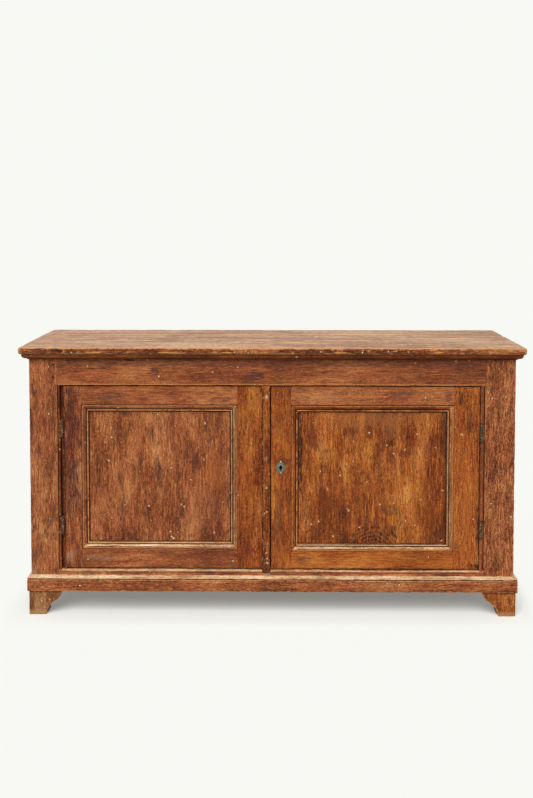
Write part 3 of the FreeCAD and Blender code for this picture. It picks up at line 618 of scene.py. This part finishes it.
    # Waxed wood is half gloss, and rubbed places are duller
    rough = add(tree, "MapRange", (specks, 0.3, 0.7, 0.42, 0.6))
    rough = add(tree, "Math", (edge, 0.2, rough), operation="MULTIPLY_ADD")
    height = fibres
    for layer, rise in ((streak, 0.6), (specks, 0.4), (chip, -0.8), (edge, -0.5)):
        height = add(tree, "Math", (layer, rise, height), operation="MULTIPLY_ADD")
    bump = add(tree, "Bump", {"Height": height, "Strength": 0.6, "Distance": 0.6 * MM})
    shader = add(tree, "BsdfPrincipled", {"Base Color": colour, "Roughness": rough, "Normal": bump,
                                          "Specular IOR Level": 0.14})
    add(tree, "OutputMaterial", {"Surface": shader})
    return material


def aged_iron(name, bare, rusted, oxidised=0.0, marks=()):
    """Hand-forged iron, oxidised dark brown with rust, and rubbed bright on its high edges."""
    finish = bpy.context.scene.buffet_finish
    material = bpy.data.materials.new(name)
    tree = emptied(material)
    place = add(tree, "TexCoord", out="Object")
    scale = add(tree, "TexNoise", {"Vector": place, "Scale": 1 / (6 * MM), "Detail": 5.0, "Roughness": 0.65})
    pits = add(tree, "TexNoise", {"Vector": place, "Scale": 1 / (1.6 * MM), "Detail": 3.0})
    dark = add(tree, "MapRange", (scale, 0.4 - oxidised, 0.6 - oxidised), **SMOOTH)
    rust = add(tree, "MapRange", (pits, 0.62 - 0.3 * rusted, 0.7), **SMOOTH)
    rubbed = add(tree, "Attribute", out="Fac", attribute_name="rubbed")
    rubbed = add(tree, "Math", (rubbed, scale), operation="MULTIPLY")
    rubbed = add(tree, "MapRange", (rubbed, 0.3, 0.6), **SMOOTH)
    coats = [(dark, finish.dark_iron), (rust, finish.rust), (rubbed, finish.bright_iron)]
    colour = bare
    for amount, over in coats + [laid_mark(tree, place, mark, pits, 1.0) for mark in marks]:
        colour = add(tree, "Mix", {FACTOR: amount, FIRST: colour, SECOND: over}, **COLOURS)
    metal = add(tree, "MapRange", (rust, 0, 1, 0.85, 0.0))
    rough = add(tree, "MapRange", (scale, 0.3, 0.7, 0.38, 0.7))
    bump = add(tree, "Bump", {"Height": pits, "Strength": 0.5, "Distance": 0.4 * MM})
    shader = add(tree, "BsdfPrincipled", {"Base Color": colour, "Roughness": rough, "Metallic": metal,
                                          "Normal": bump})
    add(tree, "OutputMaterial", {"Surface": shader})
    return material


def dress(node, material):
    """Gives a node that keeps its shape its material."""
    slots = frame["nodes"][node].data.materials
    slots.clear()
    slots.append(material)


def bare_softwood(along, seed, **changes):
    look = Look(along, seed, "bare", smudges=0.3, dashes=0.3, chips=0.1, wear=0.2, **changes)
    return softwood("bare_softwood_" + "xyz"[along] + "_" + str(round(seed * 10)), look)


def stained_board(node, look, step, *sizes, **more):
    """Worn board with a stain of its own, cut along its grain."""
    worn_board(node, softwood("stained_softwood_" + node, look), look.along, step, look.seed, *sizes, **more)


# Splintered places on the nose of the top, and a dark line of painted shadow under it
NOSE_MARKS = (Mark(-400, 1042, 58, 5, "DDA458", 0.95), Mark(-174, 1042, 28, 5, "DDA458", 0.9),
              Mark(-690, 1041, 46, 5, "D89A50", 0.9), Mark(265, 1042, 40, 5, "D89A50", 0.9),
              Mark(640, 1043, 34, 5, "DDA458", 0.9), Mark(0, 1032, ACROSS, 4, "2A140C", 0.9, 1.2))


class BUFFET_OT_top(bpy.types.Operator):
    """Two worn top boards with the battens and the rail that carry them"""

    bl_idname = "buffet.top"
    bl_label = "Top"

    def execute(self, context):
        under = bare_softwood(X, 3.2, tone=-0.12, face=Z)
        nose = softwood("stained_softwood_nose", Look(X, 2.7, tone=-0.22, contrast=1.6, smudges=1.0,
                                                      dashes=0.9, chips=2.2, wear=0.55, marks=NOSE_MARKS))
        for node, seed, step in (("top_board_front", 1.3, 9), ("top_board_rear", 5.9, 24)):
            look = Look(X, seed, "top", Z, contrast=2.9, coarse=3.6, patches=0.4, smudges=0.2,
                        dashes=0.25, chips=0.3, wear=0.7)
            worn_board(node, softwood("worn_top_" + node, look), X, step, seed, 1.6, 1.6,
                       others=((lambda face: face.normal.z < 0.75, nose), (facing(0, 0, -1), under)))
        dress("rear_rail", under)
        dress("top_battens", bare_softwood(Y, 4.4))
        return {"FINISHED"}


# Chips on the plinth, and heights of the groove under its moulding and of the rubbed ovolo above that
PLINTH_FLAKES = ((-752, 119), (451, 133), (498, 127))
PLINTH_QUIRK = 142.2
OVOLO_FOOT = 144.4


class BUFFET_OT_mouldings(bpy.types.Operator):
    """Cornice under the top and moulded plinth above the feet"""

    bl_idname = "buffet.mouldings"
    bl_label = "Cornice and plinth"

    def execute(self, context):
        for side, along, face, seed in (("front", X, Y, 2.1), ("left", Y, X, 8.3), ("right", Y, X, 9.4)):
            # The cornice is stained darker, partly as painted shade under the nose of the top
            stained_board("cornice_" + side, Look(along, seed, "amber", face, tone=-0.12, wear=0.1,
                                                  smudges=0.3), 14, 0.7)
            ovolo = Look(along, seed + 5, "rubbed", face, tone=0.12, contrast=1.2, chips=0.5, wear=0.3,
                         smudges=0.6)
            ovolo = softwood("stained_softwood_ovolo_" + side, ovolo)
            plinth = Look(along, seed + 4, face=face, tone=0.02, contrast=1.35, patches=0.8, dashes=0.8,
                          wear=0.4, chips=1.0, flakes=PLINTH_FLAKES)
            stained_board("plinth_" + side, plinth, 9, 1.2, 1.2, quirk=PLINTH_QUIRK,
                          others=((above(OVOLO_FOOT), ovolo),))
        return {"FINISHED"}


# Pegs, dirt, rubbed places and painted shade on the boards round the doors
FRAME_LOOKS = {
    "front_post_left": Look(Z, 11.3, tone=0.02, contrast=1.55, patches=0.6, coarse=0.85, smudges=0.6,
                            dashes=0.8, chips=0.6, marks=(
        Mark(-935, 171, 16, 24, "A08C7C", 0.6, 3), Mark(-932, 890, 8, 55, "4A2820"),
        Mark(-852, 940, 9, 12, "24140F", 0.85, 1.2), Mark(-852, 988, 8, 9, "24140F", 0.85, 1.2),
        Mark(-940, 760, 7, 130, "3A211A", 0.8), Mark(-944, 430, 7, 90, "3A211A", 0.8),
        Mark(-930, 345, 12, 30, "3E2A22", 0.8))),
    "front_post_right": Look(Z, 17.9, contrast=1.75, coarse=0.8, patches=0.6, smudges=0.6, dashes=0.8,
                             chips=0.5),
    # The frieze is darker along its top: partly a darker stain and partly painted shadow under the nose of
    # the top
    "frieze_rail": Look(X, 23.4, tone=-0.03, contrast=0.85, wear=0.8, marks=(
        Mark(-23, 995, 3493, 23, "5A3428", 0.6), Mark(-728, 973, 131, 4, "2E1A14", 0.7),
        Mark(-455, 966, 23, 23, "55302A"), Mark(-66, 947, 62, 31, "4E2E28"),
        Mark(0, 912, ACROSS, 4, "C87838", 0.8, 0.8)),
        flakes=((-231, 961), (-440, 943), (-132, 980))),
    "sill_rail": Look(X, 29.2, tone=0.06, chips=0.4, smudges=0.8, wear=0.1, grime=0.55, marks=(
        Mark(-18, 162, 16, 8, "A09080", 0.7),)),
    "bead_strip_left": Look(Z, 31.7, "amber", tone=-0.15, wear=0.2),
    "bead_strip_right": Look(Z, 37.5, tone=-0.1, wear=0.2),
}

# Height of the foot of the rubbed nose on the sill
SILL_NOSE = 172.5


class BUFFET_OT_front_frame(bpy.types.Operator):
    """Posts, frieze rail, sill rail, their pegs and the bead strips beside the doors"""

    bl_idname = "buffet.front_frame"
    bl_label = "Front frame"

    def execute(self, context):
        inner = bare_softwood(Z, 6.1)
        # The dark band along the right half of the nose is painted shade under the right door
        nose = Look(X, 28.1, "rubbed", tone=0.02, contrast=1.3, chips=0.6, wear=0.5, marks=(
            Mark(430, 178, 460, 5, "2A160C", 0.85, 1.0),))
        nose = softwood("stained_softwood_sill_nose", nose)
        for node, look in FRAME_LOOKS.items():
            others = [(facing(0, 1, 0), inner)]
            if node == "sill_rail":
                others.append((above(SILL_NOSE), nose))
            stained_board(node, look, 9 if node == "sill_rail" else 14, others=others)
        dress("frame_pegs", softwood("stained_softwood_pegs", Look(Y, 41.2, tone=-0.35)))
        return {"FINISHED"}


# Height that shows of each back board
BACK_PITCH = 232.5


class BUFFET_OT_sides_and_back(bpy.types.Operator):
    """Stained side boards and the unfinished boards of the back"""

    bl_idname = "buffet.sides_and_back"
    bl_label = "Sides and back"

    def execute(self, context):
        for side, sign, seed in (("left", -1, 43.1), ("right", 1, 47.7)):
            inner = bare_softwood(Z, seed + 0.4, face=X)
            for board, shift in (("front", 0.0), ("rear", 2.6)):
                look = Look(Z, seed + shift, face=X, tone=-0.03)
                node = "side_" + side + "_" + board + "_board"
                stained_board(node, look, 24, others=((facing(-sign, 0, 0), inner),))
        for index in range(1, 5):
            node = "back_board_" + str(index)
            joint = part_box(node)[0].z / MM
            seams = tuple(Mark(0, z, ACROSS, 4, "241A12", 0.9, 0.8) for z in (joint, joint + BACK_PITCH))
            board = bare_softwood(X, 51 + 2.3 * index, tone=0.14 * (index % 2) - 0.12, contrast=1.3,
                                  marks=seams)
            worn_board(node, board, X, 40, 51 + index, 0.8)
        return {"FINISHED"}


class BUFFET_OT_inside(bpy.types.Operator):
    """Floor boards, shelf, cleats and door stops, all unfinished"""

    bl_idname = "buffet.inside"
    bl_label = "Inside"

    def execute(self, context):
        for node, seed in (("floor_board_front", 61.2), ("floor_board_rear", 63.8), ("shelf", 66.1)):
            worn_board(node, bare_softwood(X, seed, face=Z), X, 30, seed)
        dress("shelf_cleats", bare_softwood(Y, 68.3))
        dress("door_stops", bare_softwood(X, 69.9, tone=-0.1))
        return {"FINISHED"}


# A dark band at the top of the feet under the plinth, red-brown curves and scuffed toes
FOOT_MARKS = (Mark(0, 100, ACROSS, 16, "4A2C1A", 0.7, 2), Mark(-868, 72, 26, 22, "7A4420", 0.6),
              Mark(868, 72, 26, 22, "7A4420", 0.6), Mark(0, 8, ACROSS, 16, "C8A070", 0.5, 2.6))


class BUFFET_OT_feet(bpy.types.Operator):
    """Shaped bracket feet with scuffed toes, and the blocks behind them"""

    bl_idname = "buffet.feet"
    bl_label = "Feet"

    def execute(self, context):
        seed = 71.0
        for side in ("left", "right"):
            for part, along, face in (("foot_front_{}_face", X, Y), ("foot_front_{}_side", Y, X),
                                      ("foot_rear_{}", Y, X)):
                seed += 1.7
                node = part.format(side)
                look = Look(Z, seed, "foot" if side == "left" else "amber", face,
                            tone=-0.05 if side == "left" else -0.03, contrast=1.5, coarse=0.6, smudges=0.9,
                            dashes=1.0, chips=4.0, wear=0.4, marks=FOOT_MARKS)
                worn_board(node, softwood("stained_softwood_" + node, look), along, 8, seed, 1.3, 1.6)
        dress("foot_blocks", bare_softwood(Z, 79.3))
        return {"FINISHED"}


# How much of a panel's edges the door frame and its moulding cover
PANEL_COVER = 36.0

# Painted shade and dirt along the gaps round both doors
DOOR_GAP_SHADE = (Mark(0, 907, ACROSS, 7, "1E110B", 0.9, 1.2), Mark(0, 180, ACROSS, 6, "1E110B", 0.6, 1.6),
             Mark(-36.5, 540, 3.5, UPRIGHT, "1E110B", 0.9, 1.4),
             Mark(-815, 540, 5, UPRIGHT, "1E110B", 0.9, 1.6), Mark(812, 540, 6, UPRIGHT, "1E110B", 0.9, 1.6))


def side_of(opening, place):
    """Which side of a rectangular opening a place is nearest to."""
    low, high = opening
    gaps = {"left": place.x - low.x, "right": high.x - place.x,
            "bottom": place.z - low.z, "top": high.z - place.z}
    return min(gaps, key=gaps.get)


# Sides of the mouldings that are paler, each with its tone: faces of the bottom lengths that look up and of
# the right lengths that look to the light from the left, rubbed down by dusting and with a painted highlight
RUBBED_AND_LIT_SIDES = {"bottom": (facing(0, 0, 1, 0.35), -0.02), "right": (facing(-1, 0, 0, 0.35), -0.25)}


def door_moulding(side, palette, seed):
    """Four mitred lengths of reeded moulding, worn one by one and joined."""
    node = side + "_door_moulding"
    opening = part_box(node)
    lengths = []
    for index, edge in enumerate(("left", "right", "bottom", "top")):
        along = Z if edge in ("left", "right") else X
        # The right length of the right door is paler, a painted highlight where it faces the light
        pale = side == edge == "right"
        look = Look(along, seed + index, palette, tone=0.08 if pale else 0.0, chips=0.5,
                    wear=0.75 if pale else 0.9 if edge == "bottom" else 0.5)
        others = ()
        if edge in RUBBED_AND_LIT_SIDES:
            test, tone = RUBBED_AND_LIT_SIDES[edge]
            bare = Look(along, look.seed + 0.5, "rubbed", tone=tone, contrast=1.3, chips=0.8)
            others = ((test, softwood("rubbed_softwood_" + node + "_" + edge, bare)),)
        lengths.append(worn_board(node, softwood("stained_softwood_" + node + "_" + edge, look), along, 14,
                                  look.seed, 0.5, 0.9, name="worn_" + node + "_" + edge, others=others,
                                  keep=lambda place, edge=edge: side_of(opening, place) == edge))
    joined(lengths, "worn_" + node)


LEFT_DOOR_LOOKS = {
    # The dark patch down the left of the hinge stile is painted shadow of the post, and the dark line along
    # its edge painted shade in the gap
    "hinge_stile": Look(Z, 81.3, tone=-0.06, contrast=1.5, smudges=0.9, dashes=0.8, wear=0.1,
                        grime=1.05, marks=(
        Mark(-779, 528, 38, 180, "4A2622", 0.85), Mark(-768, 760, 20, 60, "4A2A22", 0.7),
        Mark(-793, 229, 30, 40, "A89078", 0.35, 3),
        Mark(-789, 881, 23, 24, "4A2A24"), Mark(-814, 544, 9, 420, "2A140E", 0.8, 0.4))),
    "meeting_stile": Look(Z, 83.9, "amber", tone=-0.03, contrast=1.15, dashes=0.8, wear=0.1,
                          smudges=0.4, marks=(
        Mark(-86, 573, 16, 237, "8A4420", 0.3),)),
    "top_rail": Look(X, 85.2, tone=0.02, smudges=0.6, wear=0.1, marks=(
        Mark(-640, 865, 101, 20, "5A3A34", 0.6), Mark(-195, 850, 62, 16, "5A3428"))),
    "bottom_rail": Look(X, 87.7, tone=-0.05, wear=0.1, marks=(
        Mark(-678, 221, 78, 18, "A08070", 0.35, 3), Mark(-323, 230, 102, 16, "6E3A24")),
        flakes=((-517, 221), (-723, 216))),
    "panel": Look(Z, 89.1, contrast=1.2, smudges=0.6, dashes=0.9, chips=0.45, grime=1.05, marks=(
        Mark(-588, 417, 31, 96, "4A2A20", 0.6), Mark(-515, 624, 23, 52, "4A2C22", 0.55),
        Mark(-445, 557, 23, 87, "4E2C20"), Mark(-355, 417, 27, 56, "46291E", 0.6),
        Mark(-295, 601, 24, 56, "5E3020"), Mark(-490, 311, 24, 20, "463026", 0.6),
        Mark(-318, 306, 24, 16, "463026", 0.6), Mark(-573, 792, 31, 20, "55382E"),
        Mark(-268, 418, 94, 104, "7E5238", 0.35), Mark(-224, 553, 55, 111, "BE6A34", 0.4)),
        flakes=((-400, 322), (-388, 296), (-395, 303), (-227, 319), (-357, 431), (-484, 427), (-643, 606),
                (-262, 755), (-630, 698), (-395, 577), (-288, 660), (-320, 530))),
}

RIGHT_DOOR_LOOKS = {
    # The dark line along the right edge of the hinge stile is painted shade in the gap
    "hinge_stile": Look(Z, 91.4, "amber", tone=0.02, smudges=0.3, dashes=0.4, wear=0.1, grime=1.05,
                        contrast=1.2, patches=0.4, marks=(
        Mark(736, 859, 14, 55, "3A2018", 0.85), Mark(770, 770, 18, 90, "4A2A1C", 0.7),
        Mark(763, 456, 24, 237, "B8682E", 0.4, 0.4), Mark(805, 337, 8, 143, "2E1810", 0.8),
        Mark(795, 192, 45, 16, "2A160E", 0.8)),
        flakes=((741, 718), (744, 712), (738, 715))),
    # The black spot under the escutcheon is painted shade in the keyhole
    "meeting_stile": Look(Z, 93.6, "amber", smudges=0.4, wear=0.1, marks=(
        Mark(35, 584, 14, 16, "080504", 1.0, 0.0),
        Mark(27, 375, 31, 135, "6A3822"), Mark(32, 870, 31, 20, "6A4030", 0.4))),
    "top_rail": Look(X, 95.8, tone=0.08, patches=0.6, smudges=0.5, wear=0.1, marks=(
        Mark(506, 876, 94, 14, "6A4438"), Mark(689, 859, 20, 31, "6A3A2C"),
        Mark(207, 862, 101, 20, "B07C52", 0.4))),
    # The dark line along the foot of the bottom rail is painted shade in the gap under the door
    "bottom_rail": Look(X, 97.2, "amber", tone=0.07, smudges=0.2, dashes=0.4, wear=0.1, marks=(
        Mark(122, 216, 55, 20, "74402A"), Mark(420, 180, 420, 6, "140A06", 0.9, 1.2))),
    # The broad pale mark near the top of the panel is a painted sheen
    "panel": Look(Z, 99.5, "amber", tone=0.01, contrast=1.45, dashes=0.9, chips=0.25, grime=1.05, marks=(
        Mark(306, 722, 39, 32, "5E2A18", 0.6), Mark(157, 689, 47, 47, "6A3018"),
        Mark(384, 709, 20, 36, "5A2C1A", 0.55), Mark(472, 729, 55, 63, "8A5A3A", 0.4),
        Mark(456, 672, 24, 16, "4A2416", 0.6), Mark(512, 638, 32, 24, "6A2C14"),
        Mark(463, 413, 55, 32, "50301F", 0.6), Mark(478, 324, 24, 36, "4A2A1C"),
        Mark(207, 424, 39, 96, "6E3214"), Mark(256, 325, 39, 12, "5A2A14", 0.6, 0.6, 25),
        Mark(613, 404, 63, 95, "7A3A14", 0.4), Mark(372, 780, 300, 60, "C67E46", 0.4, 4),
        Mark(112, 640, 11, 210, "24120C", 0.9, 2.6),
        Mark(402, 256, 150, 138, "301A12", 1.0, 3.2, 12, 15),
        Mark(472, 688, 36, 3, "2A140C", 0.9, 1.0, -36), Mark(314, 650, 34, 3, "2A140C", 0.9, 1.0, -45)),
        flakes=((382, 719), (569, 714), (643, 660), (521, 652), (319, 605), (268, 549), (374, 523),
                (219, 494), (671, 490), (584, 454), (302, 409), (298, 415), (155, 354), (184, 366),
                (345, 342), (563, 351), (525, 369), (668, 290), (478, 636))),
}


class BUFFET_OT_doors(bpy.types.Operator):
    """Door frames, panels and reeded mouldings, and the strip over the meeting of the doors"""

    bl_idname = "buffet.doors"
    bl_label = "Doors"

    def execute(self, context):
        for side, looks in (("left", LEFT_DOOR_LOOKS), ("right", RIGHT_DOOR_LOOKS)):
            for part, look in looks.items():
                node = side + "_door_" + part
                if part != "panel":
                    look = replace(look, marks=look.marks + DOOR_GAP_SHADE)
                inner = bare_softwood(look.along, look.seed + 0.4, tone=0.06 if part == "panel" else -0.04)
                step, inset = (COARSE, PANEL_COVER) if part == "panel" else (16, 0.0)
                stained_board(node, look, step, 0.7, 1.8 if part == "panel" else 1.0, inset,
                              ((facing(0, 1, 0), inner),))
        door_moulding("left", "red", 103.0)
        door_moulding("right", "amber", 109.0)
        # The dark lines down both edges of the strip are painted shade beside it
        strip = Look(Z, 113.1, "amber", tone=-0.14, contrast=1.3, chips=2.4, wear=0.3, marks=(
            Mark(-21, 865, 8, 12, "E0B080", 0.8), Mark(-21, 621, 6, 16, "9A8878", 0.7),
            Mark(-37, 540, 5, UPRIGHT, "1E110B", 0.9, 1.6), Mark(-6, 540, 5, UPRIGHT, "1E110B", 0.8, 1.6)),
            flakes=((-19, 508), (-20, 412), (-17, 284), (-16, 209), (-21, 249), (-18, 226)))
        stained_board("meeting_strip", strip, 9, 1.2)
        return {"FINISHED"}


class BUFFET_OT_ironwork(bpy.types.Operator):
    """Hinges, lock, escutcheon and slide bolts"""

    bl_idname = "buffet.ironwork"
    bl_label = "Ironwork"

    def execute(self, context):
        finish = context.scene.buffet_finish
        hinge_iron = aged_iron("wrought_iron_hinges", finish.hinge_fleck, 0.8, 0.1)
        for node in ("hinge_jamb_leaves", "hinge_door_leaves_left", "hinge_door_leaves_right", "hinge_pins"):
            dress(node, hinge_iron)
        lock_iron = aged_iron("wrought_iron_lock", finish.iron, 0.5)
        for node in ("lock_case", "lock_bolt", "bolt_guides", "upper_bolt", "lower_bolt"):
            dress(node, lock_iron)
        # The black mark on the plate is painted shade in the keyhole
        plate = aged_iron("cast_iron_escutcheon", finish.plate, 0.1, -0.12,
                          (Mark(35, 582, 9, 16, "0A0705", 1.0, 0.4),))
        worn_board("escutcheon", plate, Z, 6, 117.3, 0.1, 0.36, arris=0.3)
        return {"FINISHED"}


# Where the fasteners go, in millimetres. A hinge's row has the faces of its leaves on the post and the door,
# its heights, and the way that the first of these faces.
ESCUTCHEON_NAILS = ((35, -239.8, 562.5), (35, -239.8, 606.5))
LOCK_SCREWS = [(x, -198.7, z) for x in (4.5, 64.5) for z in (551, 617)]
BOLT_SCREWS = [(-72 + side * 10, -210.6, z) for side in (-1, 1) for z in (229, 255, 833, 859)]
BACK_NAIL_INSET = 14
BACK_NAIL_SINK = 0.3
HINGES = (("left", -815.5, -815.3, (738, 354), math.pi / 2),
          ("right", 812.0, 811.8, (723, 339), -math.pi / 2))
HINGE_SCREW_Y = -228.5
HINGE_SCREW_STEPS = (-24, 0, 24)

# Turn from one head to the next, so that no two stand alike
HEAD_TURN = 1.9
HEAD_SIDES = 12
HEAD_SMOOTH = math.radians(40)


def pick(piece, test):
    """Selects the faces of a piece that pass a test, and leaves it in edit mode."""
    bpy.ops.object.mode_set(mode="OBJECT")
    for face in piece.data.polygons:
        face.select = test(face)
    bpy.ops.object.mode_set(mode="EDIT")


def fastener_head(width, rise, slotted, iron, shade):
    """One head at the origin that faces forwards: a domed nail, or a screw with a dark slot."""
    bpy.ops.object.select_all(action="DESELECT")
    bpy.ops.mesh.primitive_cylinder_add(vertices=HEAD_SIDES, radius=width / 2, depth=2 * rise,
                                        rotation=(math.pi / 2, 0, 0))
    piece = bpy.context.object
    bpy.ops.object.transform_apply(location=False, rotation=True, scale=False)
    piece.data.materials.append(iron)
    piece.data.materials.append(shade)
    bpy.ops.object.mode_set(mode="EDIT")
    bpy.ops.mesh.select_mode(type="FACE")
    if slotted:
        for side in (-1, 1):
            bpy.ops.mesh.select_all(action="SELECT")
            bpy.ops.mesh.bisect(plane_co=(side * 0.1 * width, 0, 0), plane_no=(1, 0, 0))
        pick(piece, lambda face: face.normal.y < -0.9 and abs(face.center.x) < 0.05 * width)
        bpy.ops.mesh.extrude_region_move(TRANSFORM_OT_translate={"value": (0, 0.8 * rise, 0)})
        bpy.context.object.active_material_index = 1
        bpy.ops.object.material_slot_assign()
    else:
        pick(piece, lambda face: face.normal.y < -0.9)
        for share in (0.16, 0.2):
            bpy.ops.mesh.inset(thickness=share * width)
            bpy.ops.transform.translate(value=(0, -0.4 * rise, 0))
    bpy.ops.object.mode_set(mode="OBJECT")
    bpy.ops.object.shade_smooth_by_angle(angle=HEAD_SMOOTH)
    return piece


def drive_in(name, head, places, turn, body):
    """Sets a copy of a head at each place in millimetres, turned to its face, and joins the copies."""
    copies = []
    for index, place in enumerate(places):
        copy = bpy.data.objects.new(name, head.data.copy())
        copy.location = [part * MM for part in place]
        copy.rotation_euler = (0, HEAD_TURN * index, turn)
        bpy.context.scene.collection.objects.link(copy)
        copies.append(copy)
    piece = joined(copies, name)
    bpy.ops.object.transform_apply(location=True, rotation=True, scale=True)
    piece.data.name = name
    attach(piece, body)


class BUFFET_OT_fasteners(bpy.types.Operator):
    """Nails of the escutcheon and the back, and screws of the lock, the slide bolts and the hinges"""

    bl_idname = "buffet.fasteners"
    bl_label = "Fasteners"

    def execute(self, context):
        finish = context.scene.buffet_finish
        wear = context.scene.buffet_wear
        iron = aged_iron("wrought_iron_nails", finish.iron, 0.6, 0.12)
        bright = aged_iron("bright_iron_nails", linear("D4D4C8"), 0.1, -0.3)
        shade = aged_iron("wrought_iron_slots", finish.dark_iron, 0.2, 0.2)

        small_nail = fastener_head(0.65 * wear.nail_head, 0.9 * MM, False, bright, shade)
        drive_in("escutcheon_nails", small_nail, ESCUTCHEON_NAILS, 0, "right_door")

        nail = fastener_head(wear.nail_head, 0.9 * MM, False, iron, shade)
        back = []
        for index in range(1, 5):
            low, high = (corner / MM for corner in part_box("back_board_" + str(index)))
            for x in (low.x + BACK_NAIL_INSET, 0, high.x - BACK_NAIL_INSET):
                back += [(x, high.y - BACK_NAIL_SINK, low.z + share * (high.z - low.z))
                         for share in (0.22, 0.78)]
        drive_in("back_nails", nail, back, math.pi, "carcass")

        screw = fastener_head(wear.screw_head, 0.8 * MM, True, iron, shade)
        drive_in("lock_screws", screw, LOCK_SCREWS, math.pi, "right_door")
        drive_in("bolt_plate_screws", screw, BOLT_SCREWS, math.pi, "left_door")

        # Screws let in level with the hinge leaves
        level = fastener_head(wear.screw_head, 0.07 * MM, True, iron, shade)
        for side, post, door, heights, turn in HINGES:
            places = [(HINGE_SCREW_Y, z + step) for z in heights for step in HINGE_SCREW_STEPS]
            leaves = (("post", post, turn, "carcass"), ("door", door, -turn, side + "_door"))
            for part, x, way, body in leaves:
                drive_in("hinge_" + part + "_screws_" + side, level, [(x, *place) for place in places], way,
                         body)
        for pattern in (small_nail, nail, screw, level):
            bpy.data.objects.remove(pattern)
        return {"FINISHED"}


# Width of the camera's sensor in millimetres, and of the floor and its band of shade in metres
SENSOR = 36.0
FLOOR_SIZE = 60
SHADE = 0.1

# Each light's tilt, turn and spread in degrees
LIGHTS = {"key": (43, -12, 42), "overhead": (6, 0, 100)}


class BUFFET_OT_stage(bpy.types.Operator):
    """Camera, soft lights and the pale floor"""

    bl_idname = "buffet.stage"
    bl_label = "Stage"

    def execute(self, context):
        stage = context.scene.buffet_stage
        context.scene.view_settings.view_transform = "Standard"

        bpy.ops.object.camera_add(location=stage.camera, rotation=(math.pi / 2 - stage.tilt, 0, stage.turn))
        camera = context.object
        camera.data.sensor_width = SENSOR
        camera.data.lens = stage.lens
        camera.data.shift_y = stage.rise
        context.scene.camera = camera

        for name, angles in LIGHTS.items():
            tilt, turn, spread = (math.radians(angle) for angle in angles)
            bpy.ops.object.light_add(type="SUN", rotation=(tilt, 0, turn))
            lamp = context.object
            lamp.name = name + "_light"
            lamp.data.energy = getattr(stage, name)
            lamp.data.angle = spread

        bpy.ops.mesh.primitive_plane_add(size=FLOOR_SIZE, location=(0, 0, 0))
        floor = context.object
        floor.name = "floor"
        floor.data.materials.append(self.floor_paper(stage))

        world = bpy.data.worlds.new("studio")
        context.scene.world = world
        tree = emptied(world)
        seen = self.seen_rays(tree)
        light = add(tree, "Background", {"Color": (1, 1, 1, 1), "Strength": stage.sky})
        backdrop = add(tree, "Background", {"Color": stage.floor, "Strength": 1.0})
        mixed = add(tree, "MixShader", (seen, light, backdrop))
        add(tree, "OutputWorld", {"Surface": mixed})
        return {"FINISHED"}

    def seen_rays(self, tree):
        """1 for rays from the camera and for those seen in gloss or glass."""
        rays = add(tree, "LightPath").node
        seen = add(tree, "Math", (rays.outputs["Is Camera Ray"], rays.outputs["Is Glossy Ray"]),
                   operation="MAXIMUM")
        return add(tree, "Math", (seen, rays.outputs["Is Transmission Ray"]), operation="MAXIMUM")

    def floor_paper(self, stage):
        """Matt pale paper, which throws less light back at the cabinet than it shows."""
        material = bpy.data.materials.new("pale_paper")
        tree = emptied(material)
        lit = add(tree, "BsdfDiffuse", {"Color": stage.floor})
        glow = add(tree, "Emission", {"Color": stage.floor, "Strength": 1.0})
        # The shade fades out away from the cabinet
        away = add(tree, "TexCoord", out="Object")
        away = add(tree, "VectorMath", (away,), operation="ABSOLUTE")
        away = add(tree, "VectorMath", (away, (CAD_BOX[1][X], CAD_BOX[1][Y], 0)), operation="SUBTRACT")
        away = add(tree, "VectorMath", (away, (0, 0, 0)), operation="MAXIMUM")
        away = add(tree, "VectorMath", (away,), "Value", operation="LENGTH")
        faded = add(tree, "MapRange", (away, 0, SHADE, 0.22, 0.97), **SMOOTH)
        shown = add(tree, "MixShader", (faded, lit, glow))
        thrown = add(tree, "BsdfDiffuse", {"Color": linear("A0A09C")})
        mixed = add(tree, "MixShader", (self.seen_rays(tree), thrown, shown))
        add(tree, "OutputMaterial", {"Surface": mixed})
        return material


STEPS = (BUFFET_OT_top, BUFFET_OT_mouldings, BUFFET_OT_front_frame, BUFFET_OT_sides_and_back,
         BUFFET_OT_inside, BUFFET_OT_feet, BUFFET_OT_doors, BUFFET_OT_ironwork, BUFFET_OT_fasteners,
         BUFFET_OT_stage)


class BUFFET_PT_sidebar(bpy.types.Panel):
    """Lists the steps that dress the cabinet"""

    bl_idname = "BUFFET_PT_sidebar"
    bl_label = "Buffet Cabinet"
    bl_space_type = "VIEW_3D"
    bl_region_type = "UI"
    bl_category = "Buffet"

    def draw(self, context):
        for step in STEPS:
            self.layout.operator(step.bl_idname)


GROUPS = {"buffet_" + key: stain_group(key, *words) for key, words in STAINS.items()}
GROUPS.update(buffet_finish=BuffetFinish, buffet_wear=BuffetWear, buffet_stage=BuffetStage)


def register():
    for name, group in GROUPS.items():
        bpy.utils.register_class(group)
        setattr(bpy.types.Scene, name, bpy.props.PointerProperty(type=group))
    for step in STEPS:
        bpy.utils.register_class(step)
    bpy.utils.register_class(BUFFET_PT_sidebar)


def unregister():
    bpy.utils.unregister_class(BUFFET_PT_sidebar)
    for step in reversed(STEPS):
        bpy.utils.unregister_class(step)
    for name, group in GROUPS.items():
        delattr(bpy.types.Scene, name)
        bpy.utils.unregister_class(group)


def main():
    register()
    bpy.ops.buffet.top()
    bpy.ops.buffet.mouldings()
    bpy.ops.buffet.front_frame()
    bpy.ops.buffet.sides_and_back()
    bpy.ops.buffet.inside()
    bpy.ops.buffet.feet()
    bpy.ops.buffet.doors()
    bpy.ops.buffet.ironwork()
    bpy.ops.buffet.fasteners()
    bpy.ops.buffet.stage()


if __name__ == "__main__":
    main()
